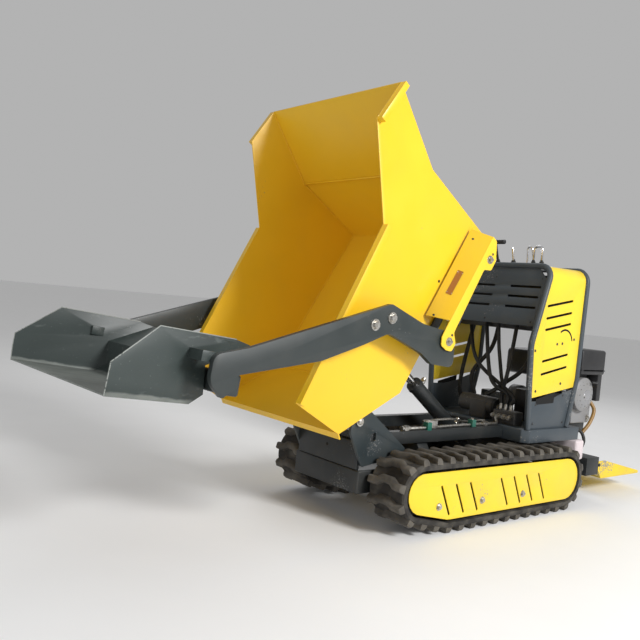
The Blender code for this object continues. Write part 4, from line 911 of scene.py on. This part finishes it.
aluminium = painted(
    "cast_aluminium", (0.26, 0.26, 0.265), (0.45, 0.45, 0.45), 0.42, 0.80, dusty=0.35, peel=0.0004)
softened("engine_bed", chassis_black, 0.003)
softened("air_cleaner", black_plastic, 0.003)
softened("fuel_tank", black_plastic, 0.003)
softened("muffler", cast_iron, 0.001)
block_low, block_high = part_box("engine_block")


def merged(name, meshes, material):
    """Several shapes in one piece."""
    shape = bmesh.new()
    for mesh, place in meshes:
        start = len(shape.verts)
        shape.from_mesh(mesh)
        shape.verts.ensure_lookup_table()
        bmesh.ops.translate(shape, vec=Vector(place), verts=shape.verts[start:])
    mesh = as_mesh(shape, name)
    smooth_up_to(mesh, 35)
    return new_piece(name, mesh, material)


width = block_high.x - block_low.x
depth = block_high.y - block_low.y
block_height = block_high.z - block_low.z
centre = ((block_low.x + block_high.x) / 2, (block_low.y + block_high.y) / 2)
crankcase = merged("crankcase", [
    (box_shape((width - 0.060, depth, 0.100), 0.012), (centre[0] - 0.010, centre[1], block_low.z)),
    (box_shape((width - 0.100, depth - 0.030, 0.016), 0.004), (centre[0] - 0.010, centre[1], block_low.z)),
    (
        box_shape((0.040, depth - 0.010, block_height - 0.020), 0.012),
        (block_high.x - 0.022, centre[1], block_low.z + 0.004),
    ),
    (box_shape((0.110, 0.100, 0.030), 0.008), (centre[0] - 0.020, centre[1], block_high.z - 0.032)),
], aluminium)
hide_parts("engine_block")
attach(crankcase, "chassis")
fin_places = [(centre[0] - 0.020, centre[1], block_low.z + 0.104 + 0.0088 * index) for index in range(8)]
fin = box_shape((0.130, 0.130, 0.0032), 0.0012)
copies("cylinder_fins", fin_places, fin, (0, 0, 1), aluminium)
core = box_shape((0.095, 0.095, 0.085), 0.010)
core_place = (centre[0] - 0.020, centre[1], block_low.z + 0.095)
copies("cylinder_core", [core_place], core, (0, 0, 1), aluminium)
softened("recoil_cover", aluminium, 0.002)
recoil_low, recoil_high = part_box("recoil_cover")
recoil_centre = Vector(((recoil_low.y + recoil_high.y) / 2, (recoil_low.z + recoil_high.z) / 2))
# Black discs for the starter cover's vents: painted shade inside them.
vents = []
for ring, count in ((0.052, 12), (0.064, 16)):
    for step in range(count):
        angle = 2 * math.pi * step / count
        depth_in = 0.0045 if ring < 0.06 else 0.0105
        vent_y = recoil_centre.x + ring * math.cos(angle)
        vents.append((recoil_high.x - depth_in, vent_y, recoil_centre.y + ring * math.sin(angle)))
copies("recoil_vents", vents, disc(0.0038, 0.0012, 12), (1, 0, 0), hole_shade_black)
rope_grip = through([
    (recoil_high.x + 0.004, recoil_centre.x + 0.030, recoil_centre.y + 0.062),
    (recoil_high.x + 0.012, recoil_centre.x + 0.052, recoil_centre.y + 0.062),
    (recoil_high.x + 0.004, recoil_centre.x + 0.074, recoil_centre.y + 0.062),
])
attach(tube("rope_grip", rope_grip, 0.006, black_plastic), "chassis")
cap_ring = [(recoil_high.x, recoil_centre.x, recoil_centre.y)]
copies("recoil_cap", cap_ring, disc(0.026, 0.004, 32), (1, 0, 0), chrome)
cleaner_low, cleaner_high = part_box("air_cleaner")
tank_low, tank_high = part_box("fuel_tank")
ribs = [(cleaner_high.x, cleaner_low.y + 0.040 + 0.016 * index, cleaner_high.z - 0.100) for index in range(9)]
copies("cleaner_ribs", ribs, box_shape((0.085, 0.006, 0.0022), 0.0008), (1, 0, 0), black_plastic)
cap_place = ((tank_low.x + tank_high.x) / 2, (tank_low.y + tank_high.y) / 2, tank_high.z - 0.001)
copies("fuel_cap", [cap_place], disc(0.032, 0.020, 32), (0, 0, 1), hose_rubber)
amber = moulded("amber_hose", (0.20, 0.105, 0.018), 0.35)
engine_hose = through([
    (block_high.x + 0.002, block_high.y - 0.020, block_low.z + 0.110),
    (block_high.x + 0.022, block_high.y - 0.012, block_low.z + 0.070),
    (block_high.x + 0.022, block_high.y - 0.040, block_low.z + 0.010),
    (block_high.x + 0.010, block_high.y - 0.080, block_low.z - 0.040),
], 10)
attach(tube("drain_hose", engine_hose, 0.009, amber), "chassis")
plug_place = (block_high.x - 0.002, block_high.y - 0.030, block_low.z + 0.030)
zinc("drain_plug", [plug_place], hex_bolt(0.010, 0.008), (1, 0, 0))


# Low behind the left track sits the pale moulded hydraulic tank, with its screw cap and return
# hose. The cross bar behind it is bolted up to the engine's bed and carries the step.

tank_pink = moulded("tank_plastic", (0.52, 0.455, 0.465), 0.42)
softened("hydraulic_tank", tank_pink, 0.004)
tank_low, tank_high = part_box("hydraulic_tank")
cap_place = (tank_high.x - 0.045, (tank_low.y + tank_high.y) / 2 - 0.008, tank_high.z)
copies("tank_cap", [cap_place], disc(0.017, 0.014, 28), (0, 0, 1), chassis_black)
return_hose = through([
    (tank_high.x - 0.060, tank_high.y + 0.006, tank_high.z + 0.040),
    (tank_high.x - 0.035, tank_high.y + 0.022, tank_high.z + 0.030),
    (tank_high.x - 0.020, tank_high.y + 0.026, tank_high.z - 0.010),
    (tank_high.x - 0.030, tank_high.y + 0.016, tank_low.z + 0.040),
    (tank_high.x - 0.030, tank_high.y - 0.004, tank_low.z + 0.036),
], 10)
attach(tube("return_hose", return_hose, 0.008, hose_rubber), "chassis")
softened("rear_bar", chassis_black, 0.003)
bar_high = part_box("rear_bar")[1]
bar_bolts = [(x, bar_high.y - 0.0513, 0.153) for x in (-0.20, -0.17, 0.17, 0.20)]
zinc("rear_bar_bolts", bar_bolts, hex_bolt(0.009, 0.007), (0, 1, 0))


# The step that the driver stands on: a folded steel plate on two pins, painted yellow, with
# rows of pressed dimples for grip.

step_yellow = painted("step_yellow", (0.900, 0.640, 0.030), (0.30, 0.28, 0.24), 0.40, 0.66, dusty=0.2)
softened("step_platform", step_yellow, 0.0012)
step_low, step_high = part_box("step_platform")
dimples = []
for row in range(9):
    for column in range(13):
        x = step_low.x + 0.050 + column * (step_high.x - step_low.x - 0.100) / 12
        y = step_low.y + 0.085 + row * 0.037
        dimples.append((x + (0.009 if row % 2 else -0.009), y, step_low.z + 0.0076))
copies("step_dimples", dimples, button_head(0.0065), (0, 0, 1), step_yellow, "step")


# The skip: bent and welded 4 mm plate with folded rims, sprayed yellow and hardly used. Weld
# beads close its inner corners, and a channel frame under the floor carries its hinge.

skip_yellow = painted("skip_yellow", (0.930, 0.560, 0.016), (0.32, 0.28, 0.20), 0.34, 0.90, dusty=0.04)
softened("skip", skip_yellow, 0.0010)
softened("skip_subframe", chassis_black, 0.0015)
tip = math.radians(59.0)


def on_skip(x, behind, up):
    """A place given from the skip's hinge with the skip level, as it lies with the skip tipped."""
    y = behind * math.cos(tip) - up * math.sin(tip)
    z = behind * math.sin(tip) + up * math.cos(tip)
    return Vector((x, hinge_y + y, hinge_z + z))


def weld(name, path, radius):
    """A bead of weld along a corner, under the same paint as the plate."""
    bead = tube(name, path, radius, skip_yellow)
    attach(bead, "skip")


bend_half = 0.3625
for index, (behind, up) in enumerate(((0.1245, 0.0635), (0.8275, 0.0635), (0.8255, 0.4190))):
    bend_line = [on_skip(-bend_half, behind, up), on_skip(bend_half, behind, up)]
    weld(f"floor_weld_{index}", bend_line, 0.0035)
for side, out in (("left", 1), ("right", -1)):
    x = out * bend_half
    bends = ((-0.125, 0.220), (0.1245, 0.0635), (0.8275, 0.0635), (0.8255, 0.4190), (0.948, 0.716))
    corner = [on_skip(x, *place) for place in bends]
    weld(f"corner_weld_{side}", corner, 0.0030)
# A black disc for the hole in the skip's side wall: painted shade inside it.
copies("skip_wall_hole", [on_skip(0.3671, 0.547, 0.143)], disc(0.0055, 0.0006), (1, 0, 0), hole_shade_black, "skip")


# On each side wall a bracket plate carries the arm's pin and the lifting ram's pin, under a
# yellow cover with rivets. A blank brown plate is riveted to each cover.

bracket_yellow = painted("bracket_yellow", (0.905, 0.600, 0.028), (0.30, 0.28, 0.22), 0.36, 0.84, dusty=0.08)
plate_brown = painted("plate_brown", (0.330, 0.125, 0.020), (0.75, 0.55, 0.20), 0.30, 0.8, dusty=0.05)
for side, out in (("left", 1), ("right", -1)):
    softened(f"arm_bracket_{side}", bracket_black, 0.0012)
    softened(f"bracket_cover_{side}", bracket_yellow, 0.0008)
    low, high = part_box(f"bracket_cover_{side}")
    face = high.x if out > 0 else low.x
    pivot = Vector((0.359, 0.044))
    bend = Vector((high.x if out > 0 else -low.x, 0.040))
    foot = Vector((0.378, 0.0895))
    outward = Vector((bend.y - foot.y, foot.x - bend.x)).normalized() * -1

    def on_slope(ahead, share, lift=0.0):
        """A place on the bent part: from the arm's pin, and the share of the way to its foot."""
        at = bend.lerp(foot, share) + outward * lift
        return on_skip(out * at.x, pivot.x + ahead, pivot.y + at.y)

    slope_facing = on_skip(0, 0, outward.y) - on_skip(0, 0, 0) + Vector((out * outward.x, 0, 0))
    rivets = [on_slope(0.400, 0.735), on_slope(0.059, 0.720)]
    copies(f"cover_rivets_{side}", rivets, button_head(0.0045), slope_facing, screw_black, "skip")
    pins = [on_skip(face, pivot.x, pivot.y), on_skip(face, 0.719, 0.047)]
    zinc(f"cover_pin_washers_{side}", pins, disc(0.0165, 0.003, 32), (out, 0, 0), "skip")
    studs = [(x + 0.003 * out, y, z) for x, y, z in pins]
    zinc(f"cover_pin_bolts_{side}", studs, hex_bolt(0.0085, 0.008, 1.2), (out, 0, 0), "skip")
    keepers = [on_skip(face, pivot.x + 0.027, pivot.y + 0.001), on_skip(face, 0.745, 0.046)]
    copies(f"cover_keepers_{side}", keepers, button_head(0.005), (out, 0, 0), screw_black, "skip")
    places = ((0.259, 0.68), (0.259, 0.44), (0.155, 0.46), (0.155, 0.70))
    inner = [on_slope(ahead, share, 0.0003) for ahead, share in places]
    outer = [on_slope(ahead, share, 0.0015) for ahead, share in places]
    plate = slab(f"blank_plate_{side}", inner, outer, plate_brown)
    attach(plate, "skip")
    middle = sum(inner + outer, Vector()) / (2 * len(places))
    tacks = [on_slope(ahead, share, 0.0013).lerp(middle, 0.14) for ahead, share in places]
    zinc(f"plate_tacks_{side}", tacks, button_head(0.0020), slope_facing, "skip")


# The arms, cut from 20 mm plate, and the welded shovel between them, painted dark grey green.
# Digging has scratched the shovel and worn its lip to bare steel. The floor's light steel
# colour is partly that wear and partly painted sunlight.

lift_y, lift_z = joints["shovel_lift"]["pos_m"][1:]
nose_up = math.radians(6.8)


def on_arm(x, behind, up):
    """A place given from the arms' pivot with the shovel level, as it lies at rest."""
    y = behind * math.cos(nose_up) + up * math.sin(nose_up)
    z = -behind * math.sin(nose_up) + up * math.cos(nose_up)
    return Vector((x, lift_y + y, lift_z + z))


def worn_and_sunlit_shovel():
    """Dark paint, finely scratched, and lighter over the floor: dull steel worn at the lip, partly painted
    sunlight on the floor.
    """
    material, tree, shader = plain("shovel_paint", (0.030, 0.040, 0.038), 0.42)
    place = tree.nodes.new("ShaderNodeTexCoord")
    floor_normal = on_arm(0, 0, 1) - on_arm(0, 0, 0)
    height = tree.nodes.new("ShaderNodeVectorMath")
    height.operation = "DOT_PRODUCT"
    height.inputs[1].default_value = floor_normal
    tree.links.new(place.outputs["Object"], height.inputs[0])
    floor_height = on_arm(0, 0, -0.337).dot(floor_normal)
    ragged = tree.nodes.new("ShaderNodeMath")
    ragged.operation = "MULTIPLY_ADD"
    ragged.inputs[1].default_value = -0.020
    tree.links.new(clouds(tree, 14.0, 7.0), ragged.inputs[0])
    tree.links.new(height.outputs["Value"], ragged.inputs[2])
    # A ragged mask over the floor, the lighter steel colour: partly wear at the lip, partly painted sunlight
    # on the floor.
    edge = between(tree, ragged.outputs["Value"], floor_height - 0.002, floor_height + 0.004, 1.0, 0.0)
    scratches = between(tree, clouds(tree, 110.0, 9.0, (1.0, 0.08, 0.5)), 0.60, 0.70, 0.0, 0.6)
    where = between(tree, clouds(tree, 5.0, 4.0), 0.45, 0.65)
    spots = between(tree, clouds(tree, 160.0, 6.0), 0.68, 0.74, 0.0, 0.6)
    scuffed = product(tree, scratches, where)
    shade = two_colours(tree, clouds(tree, 6.0, 6.0), (0.026, 0.036, 0.034), (0.042, 0.056, 0.053))
    shade = two_colours(tree, scuffed, shade, (0.15, 0.17, 0.16))
    shade = two_colours(tree, spots, shade, (0.14, 0.16, 0.15))
    # The floor's colour: streaky dull steel, partly worn metal and partly painted sunlight.
    streaks = clouds(tree, 40.0, 8.0, (1.0, 0.3, 1.0))
    worn_and_sunlit_floor = two_colours(tree, streaks, (0.105, 0.120, 0.110), (0.30, 0.32, 0.30))
    shade = two_colours(tree, edge, shade, worn_and_sunlit_floor)
    tree.links.new(shade, shader.inputs["Base Color"])
    metal = between(tree, edge, 0.0, 1.0, 0.0, 0.35)
    tree.links.new(metal, shader.inputs["Metallic"])
    relief(tree, shader, clouds(tree, 120.0, 6.0, (1.0, 0.2, 1.0)), 0.0004, 0.4)
    return material


arm_grey = painted("arm_grey", (0.028, 0.036, 0.036), (0.16, 0.16, 0.16), 0.40, 0.84, dusty=0.08)
shovel_paint = worn_and_sunlit_shovel()
bare_steel = painted("bare_steel", (0.30, 0.32, 0.30), (0.10, 0.11, 0.10), 0.40, 0.62, dusty=0.3)
softened("shovel", shovel_paint, 0.0012)
softened("arm_cross_tube", arm_grey, 0.002)
for side, out in (("left", 1), ("right", -1)):
    softened(f"arm_{side}", arm_grey, 0.0020)
    face = outer_face(f"arm_{side}", out)
    places = [on_arm(face, -0.362, -0.002), on_arm(face, -0.291, 0.033)]
    zinc(f"arm_bolts_{side}", places, hex_bolt(0.013, 0.011), (out, 0, 0), "shovel_arms")
    rim = (
        (0.3215, -0.794, -0.1325), (0.3675, -1.071, -0.1340), (0.3895, -1.2005, -0.2475),
        (0.3885, -1.2005, -0.290), (0.3825, -1.1985, -0.338),
    )
    edge_path = [on_arm(out * (x - 0.002), *place) for x, *place in rim]
    worn_edge = tube(f"worn_edge_{side}", edge_path, 0.0022, bare_steel)
    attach(worn_edge, "shovel_arms")


# The rams: black barrels with a chromed rod, a gland nut at the mouth and a banjo union for the
# hose at each end.

for node in ("tip_ram_barrel", "arm_ram_left_barrel", "arm_ram_right_barrel"):
    softened(node, chassis_black, 0.0010)
for node in ("tip_ram_rod", "arm_ram_left_rod", "arm_ram_right_rod"):
    softened(node, chrome, 0.0004)
for name, pivot_joint, slide_joint, radius, mouth in (
    ("tip_ram", "tip_ram_swing", "tip_ram_slide", 0.032, 0.420),
    ("arm_ram_left", "arm_ram_left_swing", "arm_ram_left_slide", 0.019, 0.262),
    ("arm_ram_right", "arm_ram_right_swing", "arm_ram_right_slide", 0.019, 0.262),
):
    body = joints[pivot_joint]["child"]
    start = Vector(joints[pivot_joint]["pos_m"])
    along = Vector(joints[slide_joint]["axis"])
    if name == "tip_ram":
        along = -along
    side_way = Vector((1, 0, 0)).cross(along).normalized()
    if side_way.z < 0:
        side_way = -side_way
    gland = disc(radius * 1.12, 0.020, 32)
    copies(f"{name}_gland", [start + along * (mouth - 0.016)], gland, along, chassis_black, body)
    ports = [start + along * share + side_way * (radius - 0.002) for share in (radius * 2.2, mouth - 0.035)]
    zinc(f"{name}_ports", ports, union_mesh(radius * 0.42, radius * 0.9), side_way, body)
